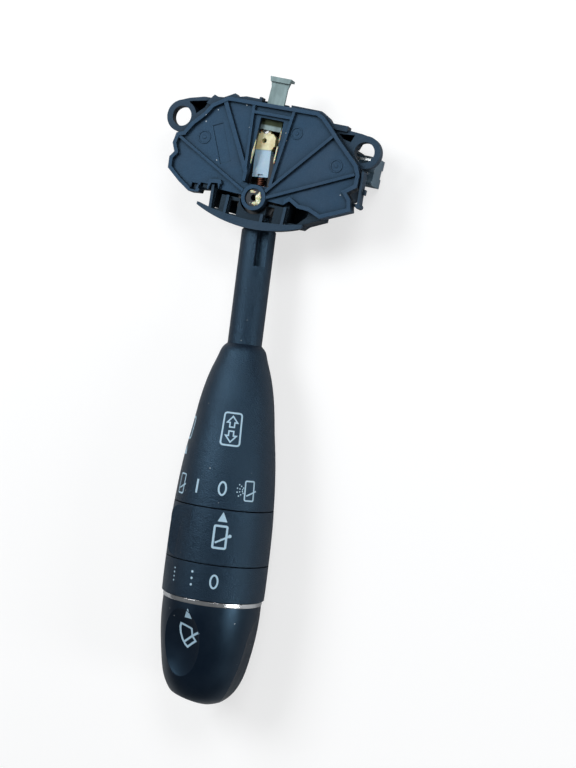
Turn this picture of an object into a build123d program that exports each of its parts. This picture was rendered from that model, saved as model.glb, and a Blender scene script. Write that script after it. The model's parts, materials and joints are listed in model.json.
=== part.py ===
"""Combination stalk switch: a fan-ribbed switch base with a swinging lever, a tapered grip,
a rear wiper ring and a push-and-turn end knob.

Frame: +X from ear to ear, +Y away from the lever, +Z out of the ribbed cover. The origin is
midway between the two fixing holes, on the ears' seating face. Millimetres throughout.
Base pieces are drawn about the lever's pivot. Lever pieces are drawn with the lever along -Y
and are then turned by LEVER_LEAN; stations along the lever count from the pivot.
"""
from build123d import *
import os
from math import cos, radians, sin

os.makedirs("parts", exist_ok=True)

# ---------------------------------------------------------------- driving dimensions
EAR_X = 34.0             # half the spacing of the fixing holes
EAR_Y = 22.7             # fixing holes ahead of the pivot
EAR_HOLE_R = 3.5
EAR_R = 5.6
EAR_THICK = 3.2
LEVER_LEAN = 6.6         # neutral lever direction, degrees from the base's own axis
LEVER_Z = -4.0           # height of the lever's axis
BOTTOM_Z = -14.0
FLOOR_Z = -12.2
SEAT_Z = EAR_THICK       # the cover sits on the housing here
PANEL_Z = 4.8            # sunk face of the cover
RIB_Z = 5.8
RIM_Z = 6.0
WALL = 1.8
RIM_WIDTH = 1.3
DECK_Z = (2.6, 3.8)      # shelf behind the front flange
FLANGE_R = 49.0
FLANGE_CENTRE_Y = 38.4
FLANGE_THICK = 1.9
FLANGE_TOP_Z = 5.3
BOSS_R = 4.4
TRUNNION_R = 3.05
FIT = 0.05               # radial clearance of a running fit

STEM_R = 6.0
CROSS_PIN_S = 3.0        # high-beam pin, ahead of the pivot
CROSS_PIN_R = 1.5
GRIP_START, GRIP_END = 50.0, 106.0
RING_START, RING_END = 106.4, 125.0
COLLAR_START, COLLAR_END = 125.4, 137.5
WING_S = (107.0, 124.5)  # stations of the thumb wing on the ring
KNOB_TIP = 175.3
SKIN = 2.2               # wall of the grip mouldings
CORE_R = 12.0            # bearing sleeve inside the grip
CORE_BORE_R = 9.0
SPIGOT_R = 8.0
WING_FROM, WING_TO = -16.0, -48.0        # degrees round the lever from +Z towards +X
WING_R = 19.2            # tip of the thumb wing
THUMB_AT = -15.0
SIDE_FACET_AT = 90.0
TIP_SLOPE_AT = 20.0

COVER_LEFT = [(-13.2, 0.4), (-13.9, 2.2), (-16.3, 1.9), (-17.0, -0.5), (-20.1, -0.9), (-20.3, -2.1),
              (-24.0, -2.5), (-28.4, 0.1), (-33.5, 3.9), (-33.9, 7.8), (-32.5, 9.8), (-33.9, 12.7),
              (-33.3, 16.4), (-30.9, 17.2), (-28.7, 20.9), (-25.1, 24.8), (-22.7, 28.5), (-17.4, 31.9)]
COVER_RIGHT = [(15.7, 32.6), (18.3, 31.4), (21.6, 28.5), (24.6, 25.6), (33.5, 17.9), (35.0, 14.7),
               (35.2, 10.5), (32.1, 8.1), (33.9, 6.2), (34.9, 2.3), (24.8, -2.3), (20.2, -0.6),
               (16.3, -0.4), (13.0, 1.3), (11.2, -0.3)]
COVER_OUTLINE = COVER_LEFT + COVER_RIGHT
WINDOW = (-4.4, 4.1, 4.4, 27.3)          # x and y limits
FAN_RIBS = [((-4.3, 1.6), (-32.4, 15.6), 1.0), ((-2.9, 4.6), (-18.5, 30.9), 1.5),
            ((-4.9, 4.8), (-7.6, 31.0), 1.0), ((4.7, 4.8), (7.2, 31.2), 1.0),
            ((3.6, 2.8), (23.2, 26.2), 1.0), ((4.3, 0.8), (33.3, 14.6), 1.0)]
MOULD_CLOCKS = [((-23.1, 16.9), 2.3), ((9.6, 24.3), 2.1), ((26.0, 16.2), 2.2)]


# ---------------------------------------------------------------- shape helpers
def block(x0, x1, y0, y1, z0, z1):
    return Pos((x0 + x1) / 2, (y0 + y1) / 2, (z0 + z1) / 2) * Box(x1 - x0, y1 - y0, z1 - z0)


def prism(points, low, high, inset=0.0):
    outline = make_face(Polyline(*points, close=True))
    if inset:
        outline = offset(outline, -inset, kind=Kind.INTERSECTION)
    return extrude(Pos(0, 0, low) * outline, high - low)


def rod(x, y, r, low, high):
    return Pos(x, y, (low + high) / 2) * Cylinder(r, high - low)


def bar(p, q, width, low, high):
    """A straight rib of the given width from point p to point q."""
    along = Vector(*q) - Vector(*p)
    side = Vector(-along.Y, along.X).normalized() * (width / 2)
    corners = [Vector(*p) + side, Vector(*q) + side, Vector(*q) - side, Vector(*p) - side]
    return prism([(c.X, c.Y) for c in corners], low, high)


def spun(*stations):
    """A body turned about the lever's axis from (station, radius) corners."""
    return revolve(make_face(Polyline(*[(r, -s) for s, r in stations], close=True)), Axis.Y)


def spun_skin(outer, *inner):
    """A turned body with a smooth outer line and straight corners inside."""
    smooth = Spline(*[(r, -s) for s, r in outer])
    first, last = (outer[0][1], -outer[0][0]), (outer[-1][1], -outer[-1][0])
    rest = Polyline(last, *[(r, -s) for s, r in inner], first)
    return revolve(make_face(smooth + rest), Axis.Y)


def around(degrees, radius):
    """A point round the lever's axis, from +Z towards +X."""
    return radius * sin(radians(degrees)), radius * cos(radians(degrees))


def coil(radius, wire, length, turns):
    """A round-wire spring standing on the origin along +Z."""
    path = Helix(pitch=(length - wire) / turns, height=length - wire, radius=radius)
    section = Plane(origin=path @ 0, z_dir=path % 0) * Circle(wire / 2)
    return Pos(0, 0, wire / 2) * sweep(section, path=path)


def group(shapes):
    """Separate solids of one kind kept together."""
    return Compound([solid for shape in shapes for solid in shape.solids()])


def place_base(shape):
    return Pos(0, -EAR_Y, 0) * shape


def place_lever(shape):
    return Pos(0, -EAR_Y, 0) * Rot(0, 0, LEVER_LEAN) * shape


def place_stalk(shape):
    return Pos(0, -EAR_Y, LEVER_Z) * Rot(0, 0, LEVER_LEAN) * shape


# ---------------------------------------------------------------- switch base
EAR_LEFT, EAR_RIGHT = (-EAR_X, EAR_Y), (EAR_X, EAR_Y)
LEFT_STRAP = [(-34.4, 28.2), (-32.7, 28.3), (-27.0, 30.0), (-23.1, 29.8), (-22.7, 28.5), (-25.1, 24.8),
              (-28.7, 20.9), (-30.9, 17.2), (-35.3, 17.3)]
LEFT_POCKET = [(-29.7, 27.6), (-24.6, 28.7), (-28.5, 24.2)]
RIGHT_STRAP = [(21.7, 28.5), (21.5, 30.9), (26.7, 30.8), (28.2, 29.4), (34.6, 28.2), (37.0, 18.0),
               (33.5, 17.9), (24.6, 25.6)]
RIGHT_POCKET = [(24.6, 27.9), (29.7, 28.1), (28.5, 25.4), (26.1, 26.0)]
BACK_LEDGE = [(-25.5, 28.6), (-22.7, 31.2), (-18.4, 31.5), (-16.1, 33.2), (16.3, 33.3), (19.4, 31.6),
              (22.3, 28.4), (18.9, 27.0), (-20.8, 27.0)]
FRONT_BAY = [(-16.0, 3.0), (-16.0, -7.2), (12.9, -7.8), (12.9, 3.0)]
SIDE_BAY = [(11.7, 3.0), (11.7, -7.8), (17.6, -6.6), (19.7, -2.0), (19.7, 3.0)]
FLANGE_X = (-20.1, 19.5)
FLANGE_WEBS = (-15.0, -9.4, 4.3, 11.9)
STEM_WINDOW = (-8.4, 10.0, -11.4, 3.1)   # x and z limits of the opening in the flange
CONNECTOR = (27.8, 39.0, 11.6, 23.2)     # x and y limits
CONNECTOR_TOP = -4.2
PIN_ROWS = (31.0, 35.2)
PIN_TAILS = (24.2, 22.6)    # where each row's tails meet the board
PIN_PITCH = 1.7
PIN_FIRST_Y = 13.15
PIN_COUNT = 6
PIN_W = 0.64
PIN_RUN_Z = -3.4
PIN_TIP_Z = -9.6
BOARD_Z = (-11.6, -10.4)
BOARD_POSTS = ((-25.5, 10), (-19, 24), (19, 24), (19, 6))
SNAP_HOOKS = ((-23.3, -21.9, -1.3, 0.3), (-20.2, -17.8, -0.6, 0.9))   # x and y limits
FINGER_Z = (2.1, 2.9)
FINGER_X = -1.0
FINGER_PIN = (FINGER_X, 28.9)
FINGER_PIN_R = 1.0
FINGER_POST_R = 1.9
TRACK_R = 25.4


def flange_band(low, high):
    """The curved front shroud, an arc of a wall bulging towards the lever."""
    ring = Pos(0, FLANGE_CENTRE_Y, (low + high) / 2) * (Cylinder(FLANGE_R, high - low)
                                                  - Cylinder(FLANGE_R - FLANGE_THICK, high - low))
    return ring & block(*FLANGE_X, -12, -4, low, high)


def fixing_ear(centre, strap, pocket):
    ear = rod(*centre, EAR_R, 0, EAR_THICK) + prism(strap, 0, EAR_THICK)
    ear += prism(pocket, -6.0, 0.0, inset=-1.0)
    ear -= rod(*centre, EAR_HOLE_R, -1, EAR_THICK + 1)
    return ear - prism(pocket, -5.0, EAR_THICK + 1)


def lower_housing():
    body = prism(COVER_OUTLINE, BOTTOM_Z + 0.8, SEAT_Z)
    body += prism(BACK_LEDGE, BOTTOM_Z + 0.8, SEAT_Z)
    body += prism(FRONT_BAY, BOTTOM_Z + 0.8, DECK_Z[1])
    body += prism(SIDE_BAY, BOTTOM_Z + 0.8, SEAT_Z)
    body -= prism(COVER_OUTLINE, FLOOR_Z, SEAT_Z + 1, inset=WALL)
    body -= block(-14.6, 11.5, -9.0, 3.0, FLOOR_Z, DECK_Z[0])
    body -= block(-12.3, 11.5, -1.0, 3.0, FLOOR_Z, DECK_Z[1] + 1)
    body -= prism(SIDE_BAY, -6.0, DECK_Z[1] + 1, inset=1.2)
    body += prism(BACK_LEDGE, SEAT_Z, SEAT_Z + 1.2)
    # front flange, its webs and the opening for the lever
    body += flange_band(BOTTOM_Z + 0.8, FLANGE_TOP_Z)
    for x in FLANGE_WEBS:
        body += block(x - 0.6, x + 0.6, -9.2, -4.9 if abs(x) < 6 else -0.9, DECK_Z[1], FLANGE_TOP_Z)
    body -= block(-13.8, -11.0, -6.8, -0.6, DECK_Z[0] - 1, FLANGE_TOP_Z)
    body -= rod(0, 0, BOSS_R + 0.6, DECK_Z[0] - 1, DECK_Z[1] + 1)
    x0, x1, z0, z1 = STEM_WINDOW
    opening = Pos((x0 + x1) / 2, -9, (z0 + z1) / 2) * Rot(90, 0, 0) * extrude(
        RectangleRounded(x1 - x0, z1 - z0, 4.0), 4.0, both=True)
    body -= opening
    # ears, their straps and blind pockets
    body += fixing_ear(EAR_LEFT, LEFT_STRAP, LEFT_POCKET)
    body += fixing_ear(EAR_RIGHT, RIGHT_STRAP, RIGHT_POCKET)
    body += block(23.2, 28.4, 28.8, 30.9, 0, SEAT_Z + 1.0)
    # recess that takes the connector, with the slot its pins come out of
    cx0, cx1, cy0, cy1 = CONNECTOR
    body += prism([(cx0 - 2.0, cy0 - 1.8), (35.2, cy0 - 1.8), (34.6, 17.0), (29.3, cy1 + 1.0),
                   (cx0 - 2.0, cy1 + 1.2)], FLOOR_Z, -1.0)
    body -= block(cx0 - 0.1, cx1 + 6, cy0 - 0.1, cy1 + 0.1, BOTTOM_Z - 1, PIN_RUN_Z + 1.2)
    body -= block(cx0 - 3, cx0 + 1, PIN_FIRST_Y - 0.8, PIN_FIRST_Y + 5 * PIN_PITCH + 0.8,
                  PIN_RUN_Z - 0.6, PIN_RUN_Z + 0.6)
    # seat of the cover, lower bearing, board posts and snap hooks
    body -= prism(COVER_OUTLINE, SEAT_Z, RIM_Z + 1, inset=-0.1)
    body += rod(0, 0, 6.2, FLOOR_Z - 0.6, -10.9)
    body -= rod(0, 0, 4.2, BOTTOM_Z + 0.8, -10.8)
    for x, y in BOARD_POSTS:
        body += rod(x, y, 1.6, FLOOR_Z, BOARD_Z[0])
        body += rod(x, y, 0.8, BOARD_Z[0], BOARD_Z[1] + 0.6)
    for x0, x1, y0, y1 in SNAP_HOOKS:
        body += block(x0, x1, y0, y1, FLOOR_Z, RIM_Z - 0.9)
    # slot for the cancelling finger through the back wall, and the post its pin stands in
    body -= block(FINGER_X - 4.6, FINGER_X + 4.6, 29.0, 34.0, FINGER_Z[0] - 0.3, SEAT_Z + 2)
    body += rod(*FINGER_PIN, FINGER_POST_R, FLOOR_Z, FINGER_Z[0] - 0.2)
    body -= rod(*FINGER_PIN, FINGER_PIN_R, -6, FINGER_Z[0])
    # side ribs and the ribbed underside
    body += block(36.1, 37.3, 3.2, 14.8, -2.2, 1.6)
    for y in (3.6, 13.4):
        body += block(33.1, 36.9, y, y + 1.2, -2.2, 1.6)
    body += block(33.1, 35.7, 4.6, 5.8, BOTTOM_Z + 2, -2.2)
    sole = prism(COVER_OUTLINE, BOTTOM_Z, BOTTOM_Z + 0.8) - prism(COVER_OUTLINE, BOTTOM_Z - 1, BOTTOM_Z + 1, inset=1.4)
    for x in (-24.5, -12.3, 12.3, 22.7):
        sole += block(x - 0.6, x + 0.6, 0.5, 30.5, BOTTOM_Z, BOTTOM_Z + 0.8)
    sole -= block(cx0 - 0.1, cx1 + 6, cy0 - 0.1, cy1 + 0.1, BOTTOM_Z - 1, 0)
    return body + sole


def fan_cover():
    cover = prism(COVER_OUTLINE, SEAT_Z, RIM_Z)
    cover -= prism(COVER_OUTLINE, PANEL_Z, RIM_Z + 1, inset=RIM_WIDTH)
    cover -= block(-13.1, 11.1, -0.5, 2.2, PANEL_Z, RIM_Z + 1)
    ribs = [bar(p, q, width, PANEL_Z, RIB_Z) for p, q, width in FAN_RIBS]
    ribs.append(bar((-7.4, 28.6), (7.0, 28.8), 1.0, PANEL_Z, RIB_Z))
    cover = cover.fuse(*ribs)
    cover += rod(0, 0, BOSS_R, 2.7, RIM_Z)
    cover -= rod(0, 0, TRUNNION_R + FIT, 2, RIM_Z + 1)
    x0, x1, y0, y1 = WINDOW
    cover -= block(x0, x1, y0, y1, SEAT_Z - 1, RIM_Z + 1)
    for x0, x1, y0, y1 in SNAP_HOOKS:
        cover -= block(x0 - 0.45, x1 + 0.4, y0 - 0.35, y1 + 0.45, SEAT_Z - 1, RIM_Z + 1)
    for (x, y), r in MOULD_CLOCKS:
        cover += rod(x, y, r, PANEL_Z, PANEL_Z + 0.2) - rod(x, y, r - 0.35, PANEL_Z - 1, PANEL_Z + 1)
        cover += rod(x, y, 0.6, PANEL_Z, PANEL_Z + 0.2)
    recess = Pos(-16.3, 15.9, PANEL_Z) * Rot(0, 0, -64.4) * Box(13.8, 4.0, 0.5)
    return cover - recess


def connector_shell():
    x0, x1, y0, y1 = CONNECTOR
    shell = block(x0, x1, y0, y1, BOTTOM_Z + 0.4, CONNECTOR_TOP)
    shell -= block(x0 + 1.1, x1 - 1.1, y0 + 1.1, y1 - 1.1, BOTTOM_Z, CONNECTOR_TOP - 1.6)
    shell -= block(x1 - 2.2, x1 + 1, 16.0, 18.8, BOTTOM_Z, BOTTOM_Z + 4.4)
    for row in PIN_ROWS:
        for i in range(PIN_COUNT):
            y = PIN_FIRST_Y + i * PIN_PITCH
            shell -= block(row - PIN_W / 2, row + PIN_W / 2, y - PIN_W / 2, y + PIN_W / 2,
                           CONNECTOR_TOP - 2, CONNECTOR_TOP + 1)
    for y in (y0 + 0.5, y1 - 1.7):
        shell += block(x1 - 1.6, x1 + 1.0, y, y + 1.2, BOTTOM_Z + 2.0, CONNECTOR_TOP + 0.8)
    return shell


def connector_pins():
    pins = []
    half = PIN_W / 2
    for row, inner in zip(PIN_ROWS, PIN_TAILS):
        for i in range(PIN_COUNT):
            y = PIN_FIRST_Y + i * PIN_PITCH
            run = block(inner - half, row + half, y - half, y + half, PIN_RUN_Z - half, PIN_RUN_Z + half)
            down = block(row - half, row + half, y - half, y + half, PIN_TIP_Z, PIN_RUN_Z)
            tail = block(inner - half, inner + half, y - half, y + half, BOARD_Z[0] - 0.4, PIN_RUN_Z)
            pins.append(run + down + tail)
    return group(pins)


def circuit_board():
    board = prism(COVER_OUTLINE, *BOARD_Z, inset=WALL + 0.5) & block(-32, 25.2, 3.4, 29, *BOARD_Z)
    board -= block(-9.5, 9.5, 0, 7.7, -13, 0) + rod(*FINGER_PIN, FINGER_POST_R + 0.3, -13, 0)
    for x, y in BOARD_POSTS:
        board -= rod(x, y, 0.8 + FIT, -13, 0)
    for inner in PIN_TAILS:
        for i in range(PIN_COUNT):
            y = PIN_FIRST_Y + i * PIN_PITCH
            board -= block(inner - PIN_W / 2, inner + PIN_W / 2, y - PIN_W / 2, y + PIN_W / 2, -13, 0)
    return board


def contact_tracks():
    strips = [block(x - 0.9, x + 0.9, y0, y1, BOARD_Z[1], BOARD_Z[1] + 0.15)
              for x in (-12.5, -7.5, -2.5, 2.5, 7.5, 12.5) for y0, y1 in ((9.0, 12.9),)]
    return group(strips)


def slide_guide():
    """Two rails on the board that hold the contact slide square."""
    guide = block(-15, 15, 7.7, 8.5, BOARD_Z[1], -5.4) + block(-15, 15, 13.5, 14.3, BOARD_Z[1], -5.4)
    for x in (-15, 14.2):
        guide += block(x, x + 0.8, 7.7, 14.3, BOARD_Z[1], -8.6)
    return guide


def pivot_bush():
    return rod(0, 0, 4.2, BOTTOM_Z + 0.8, -10.9) - rod(0, 0, TRUNNION_R + FIT, BOTTOM_Z + 1.6, -10)


def detent_track():
    """A curved wall with a valley for the off position and one at each end."""
    track = (rod(0, 0, TRACK_R + 1.5, -1.6, 1.7) - rod(0, 0, TRACK_R, -2, 2))
    track = track & block(-11.0, 7.0, 20, 28, -2, 2)
    for turn in (-12.0, 0.0, 12.0):
        valley = radians(90 + LEVER_LEAN + turn)
        track -= rod((TRACK_R - 0.1) * cos(valley), (TRACK_R - 0.1) * sin(valley), 1.15, -2, 2)
    foot = block(-11.0, -7.4, 24.4, 27.4, FLOOR_Z, -1.6) + block(3.4, 7.0, 25.2, 27.4, FLOOR_Z, -1.6)
    foot -= block(-12, 8, 20, 29, BOARD_Z[0] - 0.7, BOARD_Z[1] + 0.1)
    return track + (foot & block(-12, 8, 20, 29, BOARD_Z[1] + 0.1, 0))


def finger_pin():
    return rod(*FINGER_PIN, FINGER_PIN_R, -5.5, SEAT_Z)


def cancel_finger():
    """Sheet-metal finger: a wide tail, a straight shank and a flared folded head."""
    x, _ = FINGER_PIN
    blade = [(x - 4.0, 23.7), (x - 4.2, 29.2), (x - 3.1, 31.6), (x - 3.0, 38.6), (x - 3.9, 41.9),
             (x + 3.9, 41.9), (x + 3.0, 38.6), (x + 3.1, 31.6), (x + 4.2, 29.2), (x + 4.0, 23.7)]
    finger = prism(blade, *FINGER_Z)
    lip = [(x - 3.5, 40.2), (x - 3.9, 41.9), (x + 3.9, 41.9), (x + 3.5, 40.2)]
    finger += prism(lip, FINGER_Z[1], FINGER_Z[1] + 0.8)
    finger += block(x - 3.8, x + 3.8, 41.1, 41.9, FINGER_Z[0] - 2.4, FINGER_Z[1])
    return finger - rod(*FINGER_PIN, FINGER_PIN_R + FIT, 0, 4)


def contact_slide():
    """Slide that the lever's peg pushes left and right across the board."""
    slide = block(-9.0, 9.0, 8.6, 13.4, -9.4, -5.8)
    peg_x, peg_y = -PEG_S * sin(radians(LEVER_LEAN)), PEG_S * cos(radians(LEVER_LEAN))
    return slide - block(peg_x - PEG_R - 0.15, peg_x + PEG_R + 0.15, peg_y - 2.0, peg_y + 1.8, -10, -5)


def contact_bridges():
    bridges = [block(x - 2.4, x + 2.4, y - 0.7, y + 0.7, BOARD_Z[1] + 0.25, BOARD_Z[1] + 0.95)
               for x in (-5.0, 5.0) for y in (9.8, 12.2)]
    return group(bridges)


# ---------------------------------------------------------------- lever carrier and detent
PEG_S = 11.0
PEG_R = 1.2
HEAD_R = 7.5
CHEEK_X = 6.8
SLOT_X = 4.7
PLUNGER_X = 2.9
PLUNGER_Z = (-0.8, 1.9)
SPRING_Y = (4.4, 7.6)
PLUNGER_Y = (7.6, 17.0)
CAP_Y = (17.0, 22.6)
ROLLER_Y = 23.7
ROLLER_R = 1.05


def lever_carrier():
    """The rocking carrier: trunnions, a fork for the lever and a trough for the detent."""
    head = rod(0, 0, HEAD_R, -10.0, 2.2) & block(-CHEEK_X, CHEEK_X, -5.4, 9, -11, 3)
    arm = block(-4.7, 4.7, 5.0, 15.2, -2.6, 2.0)
    carrier = head + arm
    carrier -= block(-SLOT_X, SLOT_X, -9, 3.6, -9.2, 1.2)
    carrier -= block(-3.4, 3.4, 3.0, 8.4, -9.2, -1.6)
    carrier -= block(-PLUNGER_X - 0.1, PLUNGER_X + 0.1, SPRING_Y[0], 18.2, PLUNGER_Z[0] - 0.1, 3)
    carrier += rod(0, 0, TRUNNION_R, 2.2, RIM_Z - 0.6) + rod(0, 0, TRUNNION_R, BOTTOM_Z + 1.7, -10.0)
    carrier -= rod(0, 0, 1.1, 1.0, RIM_Z)
    carrier += rod(0, PEG_S, PEG_R, -8.8, -2.6)
    carrier -= Pos(0, -CROSS_PIN_S, LEVER_Z) * Rot(0, 90, 0) * Cylinder(CROSS_PIN_R, 30)
    carrier -= rod(0, DIP_Y, DIP_R + FIT, -11, -8)
    return carrier


def cross_pin():
    return Pos(0, -CROSS_PIN_S, 0) * Rot(0, 90, 0) * Cylinder(CROSS_PIN_R, 2 * CHEEK_X)


def detent_spring():
    length = SPRING_Y[1] - SPRING_Y[0] - 0.1
    return Pos(0, SPRING_Y[0] + 0.05, 0.56) * Rot(-90, 0, 0) * coil(1.15, 0.5, length, 4)


def detent_plunger():
    y0, y1 = PLUNGER_Y
    plunger = block(-PLUNGER_X, PLUNGER_X, y0, y1, *PLUNGER_Z)
    return plunger - block(-0.9, 0.9, y0 - 1, y0 + 1.0, PLUNGER_Z[1] - 0.6, PLUNGER_Z[1] + 1)


def plunger_cap():
    y0, y1 = CAP_Y
    outline = [(-3.0, y0), (-3.6, y0 + 1.1), (-4.0, y0 + 1.4), (-4.0, y1 - 1.2), (-3.0, y1), (3.0, y1),
               (4.0, y1 - 1.2), (4.0, y0 + 1.4), (3.6, y0 + 1.1), (3.0, y0)]
    cap = prism(outline, PLUNGER_Z[0], 2.0)
    cap -= rod(0, 20.2, 0.85, -2, 3)
    cap += block(-1.9, 1.9, y1 - 0.2, ROLLER_Y, PLUNGER_Z[0], 1.5)
    return cap - rod(0, ROLLER_Y, ROLLER_R + FIT, -2, 3)


def detent_roller():
    return rod(0, ROLLER_Y, ROLLER_R, PLUNGER_Z[0], 1.5)


DIP_Y = 5.8
DIP_R = 1.2
TAIL_Z = 1.4
DIP_TOP = LEVER_Z - TAIL_Z - 0.15


def dip_plunger():
    stud = rod(0, DIP_Y, DIP_R, -9.3, DIP_TOP)
    return fillet(stud.edges().group_by(Axis.Z)[-1], 0.9)


# ---------------------------------------------------------------- stalk
GRIP_LINE = [(GRIP_START + 0.6, 6.6), (51.8, 7.6), (54.2, 8.5), (59.0, 10.2), (65.4, 12.0), (71.6, 13.2),
             (79.0, 14.25), (86.0, 15.35), (92.0, 16.15), (99.0, 16.85), (GRIP_END, 17.35)]
RING_LINE = [(RING_START, 17.4), (113.0, 17.75), (119.0, 17.9), (RING_END, 17.95)]
KNOB_SHOULDER = 139.3
KNOB_LINE = [(KNOB_SHOULDER, 17.1), (144.4, 17.1), (150.0, 16.75), (155.6, 16.05), (161.0, 15.15), (166.7, 13.8),
             (170.0, 12.3), (172.6, 10.3), (174.6, 7.0), (KNOB_TIP + 0.4, 3.0)]


def lever_stem():
    stem = spun((9.6, 0), (9.6, 5.2), (10.4, STEM_R), (70, STEM_R), (70, 0))
    tongue = block(-4.4, 4.4, -10.5, 0.5, -3.4, 3.4) & (Pos(0, -CROSS_PIN_S, 0) * Rot(0, 90, 0) * Cylinder(
        3.4, 9) + block(-5, 5, -11, -CROSS_PIN_S, -4, 4))
    tail = block(-2.8, 2.8, -CROSS_PIN_S, 7.2, -TAIL_Z, TAIL_Z)
    stem += tongue + tail
    stem -= Pos(0, -CROSS_PIN_S, 0) * Rot(0, 90, 0) * Cylinder(CROSS_PIN_R + FIT, 30)
    stem -= block(1.6, 7, -22.8, -8.0, 3.4, 7)
    stem -= Rot(90, 0, 0) * Pos(0, 0, 43) * Cylinder(3.2, 56)
    return stem


def wiring_sleeve():
    return Pos(0, -43, 0) * Rot(90, 0, 0) * (Cylinder(3.2, 54) - Cylinder(2.0, 60))


def core_sleeve():
    core = spun((62, STEM_R), (62, 8.0), (88, 8.0), (91, CORE_R), (131.4, CORE_R), (131.4, CORE_BORE_R),
                (92, CORE_BORE_R), (90, 6.6), (70.2, 6.6), (70.2, STEM_R))
    core -= Pos(0, -117.0, 0) * Rot(0, 90, 0) * Pos(0, 0, 10.0) * Cylinder(1.25, 6)
    core -= Pos(0, -121.0, 0) * Rot(0, -90, 0) * Pos(0, 0, 10.3) * Cylinder(1.25, 3.0)
    return core


def grip_barrel():
    inside = [(GRIP_END, GRIP_LINE[-1][1] - SKIN), (102.2, 14.8), (102.2, CORE_R), (100.4, CORE_R),
              (100.4, 14.6), (86.0, 13.0), (72.0, 10.9), (62.4, 8.6), (60.4, STEM_R), (GRIP_START, STEM_R)]
    return spun_skin(GRIP_LINE, *inside)


def rear_wiper_ring():
    inside = [(RING_END, 15.8), (117.6, 15.8), (117.6, 13.6), (122.0, 13.6), (122.0, CORE_R + FIT),
              (109.6, CORE_R + FIT), (109.6, 13.6), (114.4, 13.6), (114.4, 15.5), (RING_START, 15.3)]
    ring = spun_skin(RING_LINE, *inside)
    # thumb wing: a flat ramp that leaves the ring's surface and ends in a step
    ramp = make_face(Polyline(around(WING_FROM + 6, 16.2), around(WING_FROM, 17.85), around(WING_TO, WING_R),
                              around(WING_TO - 3, 16.2), close=True))
    wing = Pos(0, -WING_S[0], 0) * Rot(90, 0, 0) * extrude(ramp, WING_S[1] - WING_S[0])
    plan = Pos(0, 0, 8) * extrude(RectangleRounded(26.0, WING_S[1] - WING_S[0], 3.6), 16)
    wing &= Pos(0, -sum(WING_S) / 2, 0) * Rot(0, WING_TO + 3, 0) * Pos(12.4, 0, 0) * plan
    ring += wing
    for turn in (-30, 0, 30, 58):
        ring -= Rot(0, 90 - turn, 0) * (Pos(0, -117.0, CORE_R + 1.35) * Sphere(1.55))
    return ring


def fixed_collar():
    outer = [(COLLAR_START, 17.95), (131.4, 17.98), (COLLAR_END, 17.9)]
    inside = [(COLLAR_END, 17.35), (133.5, 17.35), (133.5, 15.5), (130.6, 15.5), (130.6, CORE_R),
              (128.2, CORE_R), (128.2, 15.5), (COLLAR_START, 15.5)]
    return spun_skin(outer, *inside)


def stalk_board():
    return block(-7.0, 7.0, -109.8, -94.0, -0.6, 0.6)


def ring_detent_ball():
    return Pos(CORE_R - 1.15, -117.0, 0) * Sphere(1.1)


def knob_detent_ball():
    return Pos(-(CORE_BORE_R + 1.17), -121.0, 0) * Sphere(1.1)


def knob_hub():
    hub = spun((111.6, 4.0), (111.6, CORE_BORE_R - FIT), (131.6, CORE_BORE_R - FIT), (131.6, 14.4), (133.2, 14.4),
               (133.2, SPIGOT_R), (158.0, SPIGOT_R), (158.0, 4.0))
    for turn in (-26, -2, 24, 48, 72):
        hub -= Rot(0, -90 + turn, 0) * (Pos(0, -121.0, CORE_BORE_R + 0.85) * Sphere(1.35))
    for side in (-1, 1):
        hub += Pos(side * SPIGOT_R, -149.0, 0) * Box(2.0, 17.0, 2.0)
    return hub


def wiper_contact_disc():
    disc = spun((110.4, 2.5), (110.4, 7.4), (111.6, 7.4), (111.6, 2.5))
    for turn in (0, 120, 240):
        disc -= Rot(0, turn, 0) * Pos(5.0, -111, 0) * Rot(90, 0, 0) * Cylinder(0.9, 4)
    return disc


def end_knob():
    inside = [(KNOB_TIP + 0.4, 0.0), (163.0, 0.0), (163.0, 6.8), (161.0, SPIGOT_R + FIT), (141.0, SPIGOT_R + FIT),
              (141.0, 10.6), (158.0, 10.6), (158.0, 11.6), (150.0, 13.2), (136.0, 13.2), (136.0, 16.4),
              (KNOB_SHOULDER, 16.4)]
    knob = spun_skin(KNOB_LINE, *inside)
    for side in (-1, 1):
        knob -= Pos(side * SPIGOT_R, -151.0, 0) * Box(2.3, 23.0, 2.3)
    # hollow thumb facet
    dish = revolve(make_face(Spline((0, -126.0), (22.4, -141.0), (26.0, -156.0), (22.4, -171.0), (0, -186.0))
                             + Line((0, -186.0), (0, -126.0))), Axis.Y)
    knob -= Rot(0, THUMB_AT, 0) * Pos(0, -156.0, 39.4) * Rot(7.5, 0, 0) * Pos(0, 156.0, 0) * dish
    # flattened side that deepens towards the tip
    side_line = Spline((17.3, -143.0), (15.6, -154.0), (12.5, -166.7), (9.4, -172.6), (5.0, -176.0))
    side_cut = make_face(side_line + Polyline((5.0, -176.0), (24.0, -178.0), (24.0, -143.0), (17.3, -143.0)))
    knob -= Rot(0, SIDE_FACET_AT - 90, 0) * extrude(side_cut, 16, both=True)
    # sloping tip
    knob -= Rot(0, TIP_SLOPE_AT, 0) * Pos(-11.8, -171.7, 0) * Rot(0, 0, -13.3) * block(-20, 40, -12, 0, -20, 20)
    return knob


def chrome_ring():
    start, end = COLLAR_END + 0.2, KNOB_SHOULDER
    return spun((start, 16.4), (start, 17.15), (start + 0.2, 17.3), (end - 0.3, 17.3), (end, 17.2), (end, 16.4))


def wash_spring():
    return Pos(0, -133.45, 0) * Rot(90, 0, 0) * coil(9.35, 0.9, 7.3, 3.5)


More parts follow.
